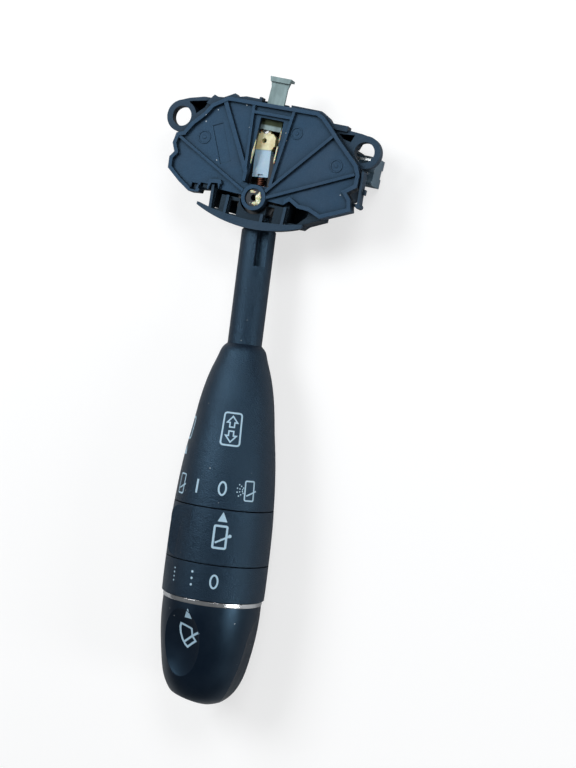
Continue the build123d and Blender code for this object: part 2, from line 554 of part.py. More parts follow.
BASE_PIECES = (lower_housing, fan_cover, connector_shell, connector_pins, circuit_board, contact_tracks,
               slide_guide, pivot_bush, detent_track, finger_pin, cancel_finger, contact_slide, contact_bridges)
CARRIER_PIECES = (lever_carrier, detent_spring, detent_plunger, plunger_cap, detent_roller, dip_plunger)
STALK_PIECES = (cross_pin, lever_stem, wiring_sleeve, core_sleeve, grip_barrel, rear_wiper_ring, fixed_collar,
                stalk_board, ring_detent_ball, knob_detent_ball, knob_hub, wiper_contact_disc, end_knob,
                chrome_ring, wash_spring)


def placed_pieces():
    for pieces, place in ((BASE_PIECES, place_base), (CARRIER_PIECES, place_lever), (STALK_PIECES, place_stalk)):
        for piece in pieces:
            yield piece.__name__, place(piece())


if __name__ == "__main__":
    for name, shape in placed_pieces():
        export_step(shape, f"parts/{name}.step")
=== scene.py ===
"""Looks of a combination stalk switch: moulded plastic, printed marks, grease, dust and light.

Metres throughout, in the part's own frame: +X from ear to ear, +Y away from the lever, +Z out of
the ribbed cover. Stations along the lever count from its pivot, in millimetres, and angles round
the lever run from +Z towards +X, in degrees.
"""
import bmesh
import bpy
import json
from math import cos, pi, radians, sin
from mathutils import Matrix, Vector
from mathutils.bvhtree import BVHTree

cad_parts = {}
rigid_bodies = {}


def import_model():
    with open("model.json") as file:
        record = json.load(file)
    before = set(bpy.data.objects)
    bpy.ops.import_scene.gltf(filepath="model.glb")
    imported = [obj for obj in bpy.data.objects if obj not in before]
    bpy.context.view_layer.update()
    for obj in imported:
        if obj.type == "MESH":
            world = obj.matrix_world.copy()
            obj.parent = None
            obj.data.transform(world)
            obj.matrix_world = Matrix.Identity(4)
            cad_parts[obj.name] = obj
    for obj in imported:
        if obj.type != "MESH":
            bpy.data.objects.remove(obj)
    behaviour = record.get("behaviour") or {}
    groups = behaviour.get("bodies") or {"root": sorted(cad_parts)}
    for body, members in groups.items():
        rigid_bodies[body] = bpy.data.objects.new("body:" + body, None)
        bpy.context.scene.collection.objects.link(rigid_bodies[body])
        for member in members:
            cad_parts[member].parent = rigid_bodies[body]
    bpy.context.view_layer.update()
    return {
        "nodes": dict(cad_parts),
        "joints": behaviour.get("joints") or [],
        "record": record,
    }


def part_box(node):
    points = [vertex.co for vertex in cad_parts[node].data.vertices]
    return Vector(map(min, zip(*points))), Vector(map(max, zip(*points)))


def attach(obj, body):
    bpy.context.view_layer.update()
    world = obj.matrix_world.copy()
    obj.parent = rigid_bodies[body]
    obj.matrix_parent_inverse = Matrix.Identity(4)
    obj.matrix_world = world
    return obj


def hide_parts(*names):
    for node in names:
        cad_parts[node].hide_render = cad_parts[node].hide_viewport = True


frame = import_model()
nodes = frame["nodes"]
joints = {joint["name"]: joint for joint in frame["joints"]}
MM = 0.001

# The lever's own axes, read from the joint that turns the rear wiper ring.
RING_JOINT = joints["rear_wiper_turn"]
PIVOT = Vector((*joints["turn_signal"]["pos_m"][:2], RING_JOINT["pos_m"][2]))
ALONG = Vector(RING_JOINT["axis"]).normalized()
UP = Vector((0, 0, 1))
ACROSS = UP.cross(ALONG).normalized()


# ---------------------------------------------------------------- places on the lever
def on_lever(station, degrees, radius):
    """The point at a station, an angle and a radius, the lengths in millimetres."""
    turn = radians(degrees)
    return PIVOT + MM * (station * ALONG + radius * (sin(turn) * ACROSS + cos(turn) * UP))


def outward(degrees):
    """The direction out of the lever at an angle round it."""
    turn = radians(degrees)
    return sin(turn) * ACROSS + cos(turn) * UP


def new_object(name, bm, material=None):
    """An object at the origin from a finished bmesh."""
    mesh = bpy.data.meshes.new(name)
    bm.to_mesh(mesh)
    bm.free()
    if material:
        mesh.materials.append(material)
    piece = bpy.data.objects.new(name, mesh)
    bpy.context.scene.collection.objects.link(piece)
    return piece


# ---------------------------------------------------------------- node trees
def add_node(tree, kind, **values):
    """A shader node with its inputs set by name, and with its settings in 'props'."""
    made = tree.nodes.new(kind)
    for key, value in values.pop("props", {}).items():
        setattr(made, key, value)
    for key, value in values.items():
        made.inputs[key.replace("_", " ")].default_value = value
    return made


def new_group(name, inputs, outputs):
    group = bpy.data.node_groups.new(name, "ShaderNodeTree")
    for label, kind, value in inputs:
        socket = group.interface.new_socket(label, in_out="INPUT", socket_type=kind)
        if value is not None:
            socket.default_value = value
    for label, kind in outputs:
        group.interface.new_socket(label, in_out="OUTPUT", socket_type=kind)
    return group, group.nodes.new("NodeGroupInput"), group.nodes.new("NodeGroupOutput")


FLOAT, VECTOR = "NodeSocketFloat", "NodeSocketVector"


def build_grain_group():
    """Fine spark-eroded grain: a height for bump, and the same pattern as a value."""
    tree, given, out = new_group(
        "spark_grain",
        [("Vector", VECTOR, None), ("Size mm", FLOAT, 0.3), ("Coarse", FLOAT, 0.35)],
        [("Height", FLOAT)])
    link = tree.links.new
    per_metre = add_node(tree, "ShaderNodeMath", props={"operation": "DIVIDE"})
    per_metre.inputs[0].default_value = 1 / MM
    link(given.outputs["Size mm"], per_metre.inputs[1])
    fine = add_node(tree, "ShaderNodeTexNoise", Detail=3.0, Roughness=0.62)
    link(given.outputs["Vector"], fine.inputs["Vector"])
    link(per_metre.outputs[0], fine.inputs["Scale"])
    slower = add_node(tree, "ShaderNodeMath", props={"operation": "MULTIPLY"})
    slower.inputs[1].default_value = 0.22
    link(per_metre.outputs[0], slower.inputs[0])
    coarse = add_node(tree, "ShaderNodeTexNoise", Detail=2.0)
    link(given.outputs["Vector"], coarse.inputs["Vector"])
    link(slower.outputs[0], coarse.inputs["Scale"])
    mix = add_node(tree, "ShaderNodeMix")
    link(given.outputs["Coarse"], mix.inputs["Factor"])
    link(fine.outputs["Fac"], mix.inputs["A"])
    link(coarse.outputs["Fac"], mix.inputs["B"])
    link(mix.outputs["Result"], out.inputs["Height"])
    return tree


def build_wear_group():
    """Rubbed outer edges: where the rounded normal leaves the true one, broken up by noise."""
    tree, given, out = new_group(
        "edge_rub",
        [("Vector", VECTOR, None), ("Radius mm", FLOAT, 0.25), ("Gain", FLOAT, 6.0)],
        [("Mask", FLOAT), ("Normal", VECTOR)])
    link = tree.links.new
    metres = add_node(tree, "ShaderNodeMath", props={"operation": "MULTIPLY"})
    metres.inputs[1].default_value = MM
    link(given.outputs["Radius mm"], metres.inputs[0])
    rounded = add_node(tree, "ShaderNodeBevel", props={"samples": 4})
    link(metres.outputs[0], rounded.inputs["Radius"])
    geometry = add_node(tree, "ShaderNodeNewGeometry")
    agree = add_node(tree, "ShaderNodeVectorMath", props={"operation": "DOT_PRODUCT"})
    link(rounded.outputs["Normal"], agree.inputs[0])
    link(geometry.outputs["Normal"], agree.inputs[1])
    differ = add_node(tree, "ShaderNodeMath", props={"operation": "SUBTRACT"})
    differ.inputs[0].default_value = 1.0
    link(agree.outputs["Value"], differ.inputs[1])
    gain = add_node(tree, "ShaderNodeMath", props={"operation": "MULTIPLY", "use_clamp": True})
    link(differ.outputs[0], gain.inputs[0])
    link(given.outputs["Gain"], gain.inputs[1])
    patches = add_node(tree, "ShaderNodeTexNoise", Scale=420.0, Detail=3.0)
    link(given.outputs["Vector"], patches.inputs["Vector"])
    worn = add_node(tree, "ShaderNodeMath", props={"operation": "MULTIPLY"})
    link(gain.outputs[0], worn.inputs[0])
    link(patches.outputs["Fac"], worn.inputs[1])
    link(worn.outputs[0], out.inputs["Mask"])
    link(rounded.outputs["Normal"], out.inputs["Normal"])
    return tree


def build_dust_group():
    """Sparse pale specks and a faint uneven film."""
    tree, given, out = new_group(
        "dust",
        [("Vector", VECTOR, None), ("Cells per m", FLOAT, 300.0), ("Speck", FLOAT, 0.17)],
        [("Specks", FLOAT), ("Film", FLOAT)])
    link = tree.links.new
    cells = add_node(tree, "ShaderNodeTexVoronoi", Randomness=1.0)
    link(given.outputs["Vector"], cells.inputs["Vector"])
    link(given.outputs["Cells per m"], cells.inputs["Scale"])
    ragged = add_node(tree, "ShaderNodeTexNoise", Scale=2600.0, Detail=2.0)
    link(given.outputs["Vector"], ragged.inputs["Vector"])
    shape = add_node(tree, "ShaderNodeMath", props={"operation": "MULTIPLY_ADD"})
    shape.inputs[1].default_value = 0.22
    link(ragged.outputs["Fac"], shape.inputs[0])
    link(cells.outputs["Distance"], shape.inputs[2])
    near = add_node(tree, "ShaderNodeMath", props={"operation": "LESS_THAN"})
    link(shape.outputs[0], near.inputs[0])
    link(given.outputs["Speck"], near.inputs[1])
    parts = add_node(tree, "ShaderNodeSeparateColor")
    link(cells.outputs["Color"], parts.inputs["Color"])
    some = add_node(tree, "ShaderNodeMath", props={"operation": "GREATER_THAN"})
    some.inputs[1].default_value = 0.66
    link(parts.outputs["Red"], some.inputs[0])
    specks = add_node(tree, "ShaderNodeMath", props={"operation": "MULTIPLY"})
    link(near.outputs[0], specks.inputs[0])
    link(some.outputs[0], specks.inputs[1])
    link(specks.outputs[0], out.inputs["Specks"])
    film = add_node(tree, "ShaderNodeTexNoise", Scale=70.0, Detail=5.0, Roughness=0.6)
    link(given.outputs["Vector"], film.inputs["Vector"])
    level = add_node(tree, "ShaderNodeMapRange", From_Min=0.42, From_Max=0.72)
    link(film.outputs["Fac"], level.inputs["Value"])
    link(level.outputs["Result"], out.inputs["Film"])
    return tree


def build_corner_shade_group():
    """Painted shade in corners and deep pockets, from ambient occlusion, broken up by noise."""
    tree, given, out = new_group(
        "corner_painted_shade",
        [("Vector", VECTOR, None), ("Reach mm", FLOAT, 12.0), ("Start", FLOAT, 0.92), ("End", FLOAT, 0.50)],
        [("Mask", FLOAT)])
    link = tree.links.new
    metres = add_node(tree, "ShaderNodeMath", props={"operation": "MULTIPLY"})
    metres.inputs[1].default_value = MM
    link(given.outputs["Reach mm"], metres.inputs[0])
    shade = add_node(tree, "ShaderNodeAmbientOcclusion", props={"samples": 6})
    link(metres.outputs[0], shade.inputs["Distance"])
    patches = add_node(tree, "ShaderNodeTexNoise", Scale=500.0, Detail=3.0)
    link(given.outputs["Vector"], patches.inputs["Vector"])
    broken = add_node(tree, "ShaderNodeMath", props={"operation": "MULTIPLY_ADD"})
    broken.inputs[1].default_value = 0.24
    broken.inputs[2].default_value = -0.12
    link(patches.outputs["Fac"], broken.inputs[0])
    uneven = add_node(tree, "ShaderNodeMath", props={"operation": "ADD"})
    link(shade.outputs["AO"], uneven.inputs[0])
    link(broken.outputs[0], uneven.inputs[1])
    level = add_node(tree, "ShaderNodeMapRange")
    link(uneven.outputs[0], level.inputs["Value"])
    link(given.outputs["Start"], level.inputs["From Min"])
    link(given.outputs["End"], level.inputs["From Max"])
    link(level.outputs["Result"], out.inputs["Mask"])
    return tree


GRAIN = build_grain_group()
CORNER_SHADE_GROUP = build_corner_shade_group()
WEAR = build_wear_group()
DUST = build_dust_group()


def place_group(tree, group, vector, **values):
    """A node group in a material, with its inputs set by name."""
    made = tree.nodes.new("ShaderNodeGroup")
    made.node_tree = group
    tree.links.new(vector, made.inputs["Vector"])
    for key, value in values.items():
        made.inputs[key.replace("_", " ")].default_value = value
    return made


def mix_colour(tree, factor, first, second):
    """A colour mix whose inputs are sockets or plain colours."""
    mix = tree.nodes.new("ShaderNodeMix")
    mix.data_type = "RGBA"
    for name, value in (("Factor", factor), ("A", first), ("B", second)):
        kind = "VALUE" if name == "Factor" else "RGBA"
        socket = next(s for s in mix.inputs if s.name == name and s.type == kind)
        if isinstance(value, bpy.types.NodeSocket):
            tree.links.new(value, socket)
        else:
            socket.default_value = value if name == "Factor" else (*value, 1.0)
    return next(s for s in mix.outputs if s.type == "RGBA")


def scaled(tree, value, times, plus=0.0):
    """A socket's value times one number, plus another."""
    node = add_node(tree, "ShaderNodeMath", props={"operation": "MULTIPLY_ADD"})
    tree.links.new(value, node.inputs[0])
    node.inputs[1].default_value = times
    node.inputs[2].default_value = plus
    return node.outputs[0]


def start_material(name, roughness, metallic=0.0, **shader_values):
    """A material with only its shader, and the object's own coordinates."""
    material = bpy.data.materials.new(name)
    material.use_nodes = True
    tree = material.node_tree
    tree.nodes.clear()
    shader = add_node(tree, "ShaderNodeBsdfPrincipled", Roughness=roughness, Metallic=metallic,
                      **shader_values)
    output = add_node(tree, "ShaderNodeOutputMaterial")
    tree.links.new(shader.outputs["BSDF"], output.inputs["Surface"])
    place = add_node(tree, "ShaderNodeTexCoord").outputs["Object"]
    return material, tree, shader, place


FILM_TONE = (0.20, 0.24, 0.28)           # faint dust film
SPECK_TONE = (0.62, 0.66, 0.68)          # dust specks
CORNER_SHADE_TONE = (0.002, 0.003, 0.005)        # painted shade in corners and pockets
LOW_SHADE_TONE = (0.003, 0.005, 0.008)        # painted shade on the housing below the cover's seat
FINGER_SHADOW_TONE = (0.022, 0.030, 0.014)        # painted shadow on the finger's inner end, dark olive


def low_shade_mask(tree, place, top, half_width):
    """Where shade is painted: one below the height top and within half_width of the middle, nought elsewhere.
    """
    link = tree.links.new
    parts = add_node(tree, "ShaderNodeSeparateXYZ")
    link(place, parts.inputs["Vector"])
    side = add_node(tree, "ShaderNodeMath", props={"operation": "ABSOLUTE"})
    link(parts.outputs["X"], side.inputs[0])
    near = add_node(tree, "ShaderNodeMapRange", From_Min=half_width, From_Max=0.9 * half_width)
    link(side.outputs[0], near.inputs["Value"])
    low = add_node(tree, "ShaderNodeMapRange", From_Min=top, From_Max=top - 0.4 * MM)
    link(parts.outputs["Z"], low.inputs["Value"])
    both = add_node(tree, "ShaderNodeMath", props={"operation": "MULTIPLY"})
    link(near.outputs["Result"], both.inputs[0])
    link(low.outputs["Result"], both.inputs[1])
    return both.outputs[0]


def moulded_plastic(name, colour, lighter, roughness, grain_mm, grain_depth, edge_tone, edge_mm=0.22,
                    dust=0.17, film=0.08, corner_shade_amount=0.85, shade_below=None, **shader_values):
    """Moulded plastic with grain, rubbed edges, a little dust and painted shade in corners and pockets.

    A pair of metres for the shade below, a height and a half width, paints shade on it below that height and
    within that half width of the middle.
    """
    material, tree, shader, place = start_material(name, roughness, **shader_values)
    link = tree.links.new
    grain = place_group(tree, GRAIN, place, Size_mm=grain_mm)
    wear = place_group(tree, WEAR, place, Radius_mm=edge_mm)
    dusty = place_group(tree, DUST, place, Speck=dust)
    tone = mix_colour(tree, grain.outputs["Height"], colour, lighter)
    tone = mix_colour(tree, wear.outputs["Mask"], tone, edge_tone)
    tone = mix_colour(tree, scaled(tree, dusty.outputs["Film"], film), tone, FILM_TONE)
    # painted shade: ambient occlusion darkens corners and pockets
    corner_shade = place_group(tree, CORNER_SHADE_GROUP, place)
    tone = mix_colour(tree, scaled(tree, corner_shade.outputs["Mask"], corner_shade_amount), tone, CORNER_SHADE_TONE)
    # painted shade on the deck and the walls under the cover, below a height and near the middle
    if shade_below:
        tone = mix_colour(tree, scaled(tree, low_shade_mask(tree, place, *shade_below), 0.8), tone, LOW_SHADE_TONE)
    tone = mix_colour(tree, scaled(tree, dusty.outputs["Specks"], 0.75), tone, SPECK_TONE)
    link(tone, shader.inputs["Base Color"])
    link(scaled(tree, dusty.outputs["Film"], 0.14, roughness), shader.inputs["Roughness"])
    bump = add_node(tree, "ShaderNodeBump", Strength=1.0, Distance=grain_depth * MM)
    link(grain.outputs["Height"], bump.inputs["Height"])
    link(wear.outputs["Normal"], bump.inputs["Normal"])
    link(bump.outputs["Normal"], shader.inputs["Normal"])
    return material


def soft_polymer(name, colour, stain, roughness, amount=0.5, **shader_values):
    """Unfilled pale plastic that has yellowed and holds grease in patches."""
    material, tree, shader, place = start_material(name, roughness, **shader_values)
    link = tree.links.new
    wear = place_group(tree, WEAR, place, Radius_mm=0.3)
    patches = add_node(tree, "ShaderNodeTexNoise", Scale=330.0, Detail=4.0, Roughness=0.6)
    link(place, patches.inputs["Vector"])
    level = add_node(tree, "ShaderNodeMapRange", From_Min=0.40, From_Max=0.68, To_Max=amount)
    link(patches.outputs["Fac"], level.inputs["Value"])
    tone = mix_colour(tree, level.outputs["Result"], colour, stain)
    link(tone, shader.inputs["Base Color"])
    link(scaled(tree, level.outputs["Result"], -0.30, roughness), shader.inputs["Roughness"])
    bump = add_node(tree, "ShaderNodeBump", Strength=0.6, Distance=0.08 * MM)
    link(patches.outputs["Fac"], bump.inputs["Height"])
    link(wear.outputs["Normal"], bump.inputs["Normal"])
    link(bump.outputs["Normal"], shader.inputs["Normal"])
    return material


def worked_metal(name, colour, dull, roughness, stretch, depth=0.02, metallic=1.0, shadow_band=None):
    """Metal with streaks along one axis and dull spots.

    A pair of metres for the shadow band, a place along Y and a half width, gives it a dark olive band of
    painted shadow.
    """
    material, tree, shader, place = start_material(name, roughness, metallic)
    link = tree.links.new
    turn = add_node(tree, "ShaderNodeMapping", Scale=stretch)
    link(place, turn.inputs["Vector"])
    streaks = add_node(tree, "ShaderNodeTexNoise", Scale=900.0, Detail=4.0, Roughness=0.65)
    link(turn.outputs["Vector"], streaks.inputs["Vector"])
    spots = add_node(tree, "ShaderNodeTexNoise", Scale=260.0, Detail=3.0)
    link(place, spots.inputs["Vector"])
    level = add_node(tree, "ShaderNodeMapRange", From_Min=0.45, From_Max=0.75, To_Max=0.7)
    link(spots.outputs["Fac"], level.inputs["Value"])
    wear = place_group(tree, WEAR, place, Radius_mm=0.12)
    tone = mix_colour(tree, level.outputs["Result"], colour, dull)
    tone = mix_colour(tree, scaled(tree, streaks.outputs["Fac"], 0.35), tone, dull)
    # painted shadow: a dark olive band across Y
    if shadow_band:
        axes = add_node(tree, "ShaderNodeSeparateXYZ")
        link(place, axes.inputs["Vector"])
        away = add_node(tree, "ShaderNodeMath", props={"operation": "SUBTRACT"})
        link(axes.outputs["Y"], away.inputs[0])
        away.inputs[1].default_value = shadow_band[0]
        either = add_node(tree, "ShaderNodeMath", props={"operation": "ABSOLUTE"})
        link(away.outputs[0], either.inputs[0])
        inner = add_node(tree, "ShaderNodeMapRange", From_Min=shadow_band[1], From_Max=0.75 * shadow_band[1])
        link(either.outputs[0], inner.inputs["Value"])
        tone = mix_colour(tree, inner.outputs["Result"], tone, FINGER_SHADOW_TONE)
    link(tone, shader.inputs["Base Color"])
    link(scaled(tree, streaks.outputs["Fac"], 0.3, roughness - 0.12), shader.inputs["Roughness"])
    bump = add_node(tree, "ShaderNodeBump", Strength=0.5, Distance=depth * MM)
    link(streaks.outputs["Fac"], bump.inputs["Height"])
    link(wear.outputs["Normal"], bump.inputs["Normal"])
    link(bump.outputs["Normal"], shader.inputs["Normal"])
    return material


def printed_ink():
    """Pale blue-grey pad print, slightly broken by the grain under it."""
    material, tree, shader, place = start_material("pad_print", 0.55)
    speckle = add_node(tree, "ShaderNodeTexNoise", Scale=3200.0, Detail=2.0)
    tree.links.new(place, speckle.inputs["Vector"])
    tone = mix_colour(tree, speckle.outputs["Fac"], (0.30, 0.46, 0.58), (0.44, 0.62, 0.74))
    tree.links.new(tone, shader.inputs["Base Color"])
    return material


def old_grease():
    """Cream bearing grease: soft, slightly see-into and lumpy."""
    material, tree, shader, place = start_material(
        "old_grease", 0.28, Subsurface_Weight=0.35, Subsurface_Scale=0.8 * MM, Coat_Weight=0.3)
    lumps = add_node(tree, "ShaderNodeTexNoise", Scale=900.0, Detail=3.0)
    tree.links.new(place, lumps.inputs["Vector"])
    tone = mix_colour(tree, lumps.outputs["Fac"], (0.50, 0.47, 0.22), (0.83, 0.85, 0.66))
    tree.links.new(tone, shader.inputs["Base Color"])
    bump = add_node(tree, "ShaderNodeBump", Strength=0.8, Distance=0.15 * MM)
    tree.links.new(lumps.outputs["Fac"], bump.inputs["Height"])
    tree.links.new(bump.outputs["Normal"], shader.inputs["Normal"])
    return material


BLUE_SHEEN = (0.36, 0.68, 1.0, 1.0)      # tint of the reflections on the dark mouldings
BASE_PLASTIC = moulded_plastic(
    "base_plastic_looks", (0.008, 0.020, 0.044), (0.022, 0.050, 0.092), 0.50, grain_mm=0.6, grain_depth=0.14,
    edge_tone=(0.06, 0.12, 0.19), Specular_IOR_Level=0.42, Specular_Tint=BLUE_SHEEN)
# the housing gets painted shade below 4.4 mm and within 27 mm of the middle
HOUSING_PLASTIC = moulded_plastic(
    "housing_looks", (0.008, 0.017, 0.034), (0.021, 0.043, 0.072), 0.50, grain_mm=0.6, grain_depth=0.14,
    edge_tone=(0.06, 0.11, 0.16), shade_below=(4.4 * MM, 27 * MM), Specular_IOR_Level=0.38,
    Specular_Tint=(0.42, 0.66, 0.88, 1.0))
GRIP_PLASTIC = moulded_plastic(
    "grip_plastic_looks", (0.002, 0.004, 0.009), (0.008, 0.014, 0.026), 0.38, grain_mm=0.42, grain_depth=0.26,
    edge_tone=(0.03, 0.06, 0.10), dust=0.15, film=0.015, Specular_IOR_Level=0.7, Specular_Tint=BLUE_SHEEN)
KNOB_PLASTIC = moulded_plastic(
    "knob_plastic_looks", (0.0008, 0.0020, 0.0055), (0.003, 0.006, 0.014), 0.34, grain_mm=0.5,
    grain_depth=0.012, edge_tone=(0.02, 0.035, 0.06), dust=0.15, film=0.015, Specular_IOR_Level=0.55,
    Specular_Tint=BLUE_SHEEN)
CONNECTOR_PLASTIC = moulded_plastic(
    "connector_looks", (0.055, 0.105, 0.145), (0.110, 0.185, 0.250), 0.34, grain_mm=0.6, grain_depth=0.02,
    edge_tone=(0.30, 0.42, 0.50), corner_shade_amount=0.25)
SLEEVE_PLASTIC = moulded_plastic(
    "sleeve_looks", (0.03, 0.03, 0.034), (0.05, 0.05, 0.055), 0.5, grain_mm=0.5, grain_depth=0.02,
    edge_tone=(0.12, 0.12, 0.13))
BOARD = moulded_plastic(
    "board_looks", (0.02, 0.10, 0.05), (0.03, 0.15, 0.07), 0.35, grain_mm=0.8, grain_depth=0.01,
    edge_tone=(0.35, 0.32, 0.18))
CREAM_PLASTIC = soft_polymer("cream_polymer", (0.62, 0.58, 0.34), (0.40, 0.33, 0.12), 0.45)
PALE_PLASTIC = soft_polymer(
    "pale_polymer", (0.30, 0.47, 0.62), (0.45, 0.60, 0.68), 0.32, 0.4,
    Subsurface_Weight=0.15, Subsurface_Scale=1.0 * MM)
YELLOW_PLASTIC = soft_polymer(
    "yellow_polymer", (0.74, 0.70, 0.42), (0.50, 0.36, 0.10), 0.30, 0.6,
    Subsurface_Weight=0.15, Subsurface_Scale=1.0 * MM)
CARRIER_PLASTIC = moulded_plastic(
    "carrier_looks", (0.003, 0.007, 0.012), (0.009, 0.016, 0.024), 0.40, grain_mm=0.5, grain_depth=0.02,
    edge_tone=(0.05, 0.08, 0.10), Specular_IOR_Level=0.3)
STEEL = worked_metal("ground_steel", (0.55, 0.56, 0.56), (0.30, 0.31, 0.31), 0.35, (1, 1, 6))
# the plated sheet gets a band of painted shadow across the finger's inner end
SHEET_METAL = worked_metal(
    "plated_sheet", (0.19, 0.255, 0.26), (0.11, 0.155, 0.155), 0.55, (1, 0.12, 1), depth=0.03,
    metallic=0.75, shadow_band=(4.4 * MM, 2.1 * MM))
SPRING_WIRE = worked_metal("copper_wire", (0.28, 0.12, 0.08), (0.10, 0.05, 0.04), 0.4, (1, 1, 1))
SPRING_STEEL = worked_metal("drawn_wire", (0.45, 0.45, 0.44), (0.22, 0.22, 0.22), 0.35, (1, 1, 1))
PIN_METAL = worked_metal("tinned_pins", (0.85, 0.88, 0.88), (0.55, 0.58, 0.58), 0.25, (1, 1, 0.3))
COPPER = worked_metal("contact_metal", (0.62, 0.38, 0.22), (0.34, 0.20, 0.12), 0.35, (1, 1, 1))
CHROME = worked_metal("bright_plating", (0.80, 0.82, 0.84), (0.58, 0.60, 0.62), 0.18, (1, 1, 1), depth=0.004)
INK = printed_ink()
GREASE = old_grease()

LOOKS = {
    "base_plastic": BASE_PLASTIC, "grip_plastic": GRIP_PLASTIC, "knob_plastic": KNOB_PLASTIC,
    "connector_plastic": CONNECTOR_PLASTIC, "pin_metal": PIN_METAL, "board": BOARD, "copper": COPPER,
    "cream_plastic": CREAM_PLASTIC, "pale_plastic": PALE_PLASTIC, "yellow_plastic": YELLOW_PLASTIC,
    "steel": STEEL, "sheet_metal": SHEET_METAL, "spring_wire": SPRING_WIRE, "spring_steel": SPRING_STEEL,
    "sleeve_plastic": SLEEVE_PLASTIC, "chrome": CHROME,
}
for part in frame["record"]["subparts"]:
    mesh = nodes[part["node"]].data
    mesh.materials.clear()
    dark = part["node"] == "lever_carrier"
    mesh.materials.append(CARRIER_PLASTIC if dark else LOOKS[part["material_slot"]])


# ---------------------------------------------------------------- base shapes, in millimetres about the pivot
BASE_AT = Vector((PIVOT.x, PIVOT.y, 0))
EAR_X, EAR_Y = 34.0, 22.7                # fixing hole, from the pivot
EAR_THICK, EAR_R, EAR_HOLE_R = 3.2, 5.6, 3.5
BOTTOM_Z, FLOOR_Z = -14.0, -12.2
SEAT_Z = EAR_THICK                       # the cover sits on the housing here
RIM_Z = 6.0
WALL = 1.8
SOLE_THICK = 0.8
TRAY_Z, TRAY_THICK = 1.2, 1.2            # wide tray that carries the cover
DECK_Z = (2.6, 3.8)                      # shelf behind the front flange
FLANGE_Z = (2.4, 5.3)
BOARD_Z = (-11.6, -10.4)
COVER_LEFT = [(-13.2, 0.4), (-13.9, 2.2), (-16.3, 1.9), (-17.0, -0.5), (-20.1, -0.9), (-20.3, -2.1),
              (-24.0, -2.5), (-28.4, 0.1), (-33.5, 3.9), (-33.9, 7.8), (-32.5, 9.8), (-33.9, 12.7),
              (-33.3, 16.4), (-30.9, 17.2), (-28.7, 20.9), (-25.1, 24.8), (-22.7, 28.5), (-17.4, 31.9)]
COVER_RIGHT = [(15.7, 32.6), (18.3, 31.4), (21.6, 28.5), (24.6, 25.6), (33.5, 17.9), (35.0, 14.7),
               (35.2, 10.5), (32.1, 8.1), (33.9, 6.2), (34.9, 2.3), (24.8, -2.3), (20.2, -0.6),
               (16.3, -0.4), (13.0, 1.3), (11.2, -0.3)]
COVER_OUTLINE = COVER_LEFT + COVER_RIGHT
DEEP_OUTLINE = [(-16.0, 2.6), (-28.6, 4.6), (-30.0, 14.6), (-26.0, 21.4), (-17.4, 30.4), (16.3, 31.4),
                (22.6, 26.2), (30.6, 18.4), (30.6, 7.4), (22.6, 2.6)]
DEEP_BAY = [(-16.2, 3.4), (-16.2, -5.6), (2.0, -6.8), (10.6, -3.8), (10.6, 3.4)]
FRONT_BAY = [(-16.2, 3.0), (-16.2, -7.2), (-4.0, -8.2), (6.0, -8.2), (12.9, -7.6), (12.9, 3.0)]
SIDE_BAY = [(11.7, 3.0), (11.7, -7.0), (17.4, -6.8), (19.0, -5.2), (24.8, -2.4), (24.8, 3.0)]
SIDE_POCKET = [(12.9, 2.6), (12.9, -5.8), (16.6, -5.6), (19.6, -2.4), (19.6, 2.6)]
SIDE_BAY_Z = -4.6
BACK_LEDGE = [(-25.5, 28.6), (-24.4, 30.4), (-23.2, 31.9), (-21.8, 31.4), (-19.6, 31.6), (-15.8, 33.7),
              (-14.3, 32.7), (-11.6, 33.4), (16.3, 33.3), (19.4, 31.6), (22.3, 28.4), (18.9, 27.0),
              (-20.8, 27.0)]
LEDGE_TOP = SEAT_Z + 1.2
LEFT_STRAP = [(-36.6, 27.7), (-32.6, 29.3), (-27.2, 30.7), (-23.4, 30.8), (-22.7, 28.5), (-25.1, 24.8),
              (-28.7, 20.9), (-30.9, 17.2), (-35.3, 17.3)]
LEFT_POCKET = [(-32.4, 28.2), (-25.2, 29.7), (-26.3, 27.0), (-29.9, 23.6)]
LEFT_WALL = [(-33.8, 29.0), (-23.9, 30.9), (-25.3, 26.4), (-30.1, 21.9)]
RIGHT_STRAP = [(20.6, 28.6), (27.0, 28.9), (31.8, 28.6), (35.6, 28.0), (37.0, 18.0), (33.5, 17.9),
               (24.6, 25.6)]
RIGHT_POCKET = [(23.8, 27.2), (29.4, 27.7), (28.5, 25.1), (25.7, 25.7)]
RIGHT_WALL = [(22.3, 28.2), (30.9, 28.8), (29.2, 23.9), (25.0, 24.7)]
RIGHT_LUG = (20.4, 26.6, 28.2, 30.1)     # x and y limits
DEEP_BAY_X = (-14.8, 9.2)                # inside faces of its side walls
COVER_GAP = (-12.3, 11.5)                # x limits of the slit under the cover's front edge
BACK_KNOB = (-6.7, -5.7, 28.0, 34.1)     # x and y limits
BACK_NOTCH = (3.5, 5.3, 31.8, 34.0)      # x and y limits
SOLE_RIBS = (-24.5, -12.3, 12.3, 22.7)
FLANGE_X = (-20.1, 19.2)
FLANGE_WEBS = (-9.4, 4.3, 11.9)
DECK_POCKETS = ((-14.5, -12.3, -6.1, 2.1), (-8.6, -5.6, -6.9, -2.2), (4.9, 7.7, -7.1, -1.8))
STEM_WINDOW = (-8.4, 10.0, -11.4, 3.1)   # x and z limits of the opening in the flange
GUARD_LINE = ((35.7, 16.3), (36.7, 4.6))
GUARD_TOP = 5.0
GUARD_LINKS = (4.4, 13.4)
GUARD_STUB = (36.0, 37.5, 8.8, 10.6)     # x and y limits
SNAP_HOOKS = ((-23.2, -21.9, -1.2, 0.5), (-20.0, -17.9, -0.2, 1.2))
CONNECTOR = (27.8, 36.8, 13.2, 22.7)     # x and y limits
CONNECTOR_TOP = -4.2
CONNECTOR_WALL = 0.9
PIN_ROWS = (30.4, 34.6)
PIN_TAIL_X = 26.0
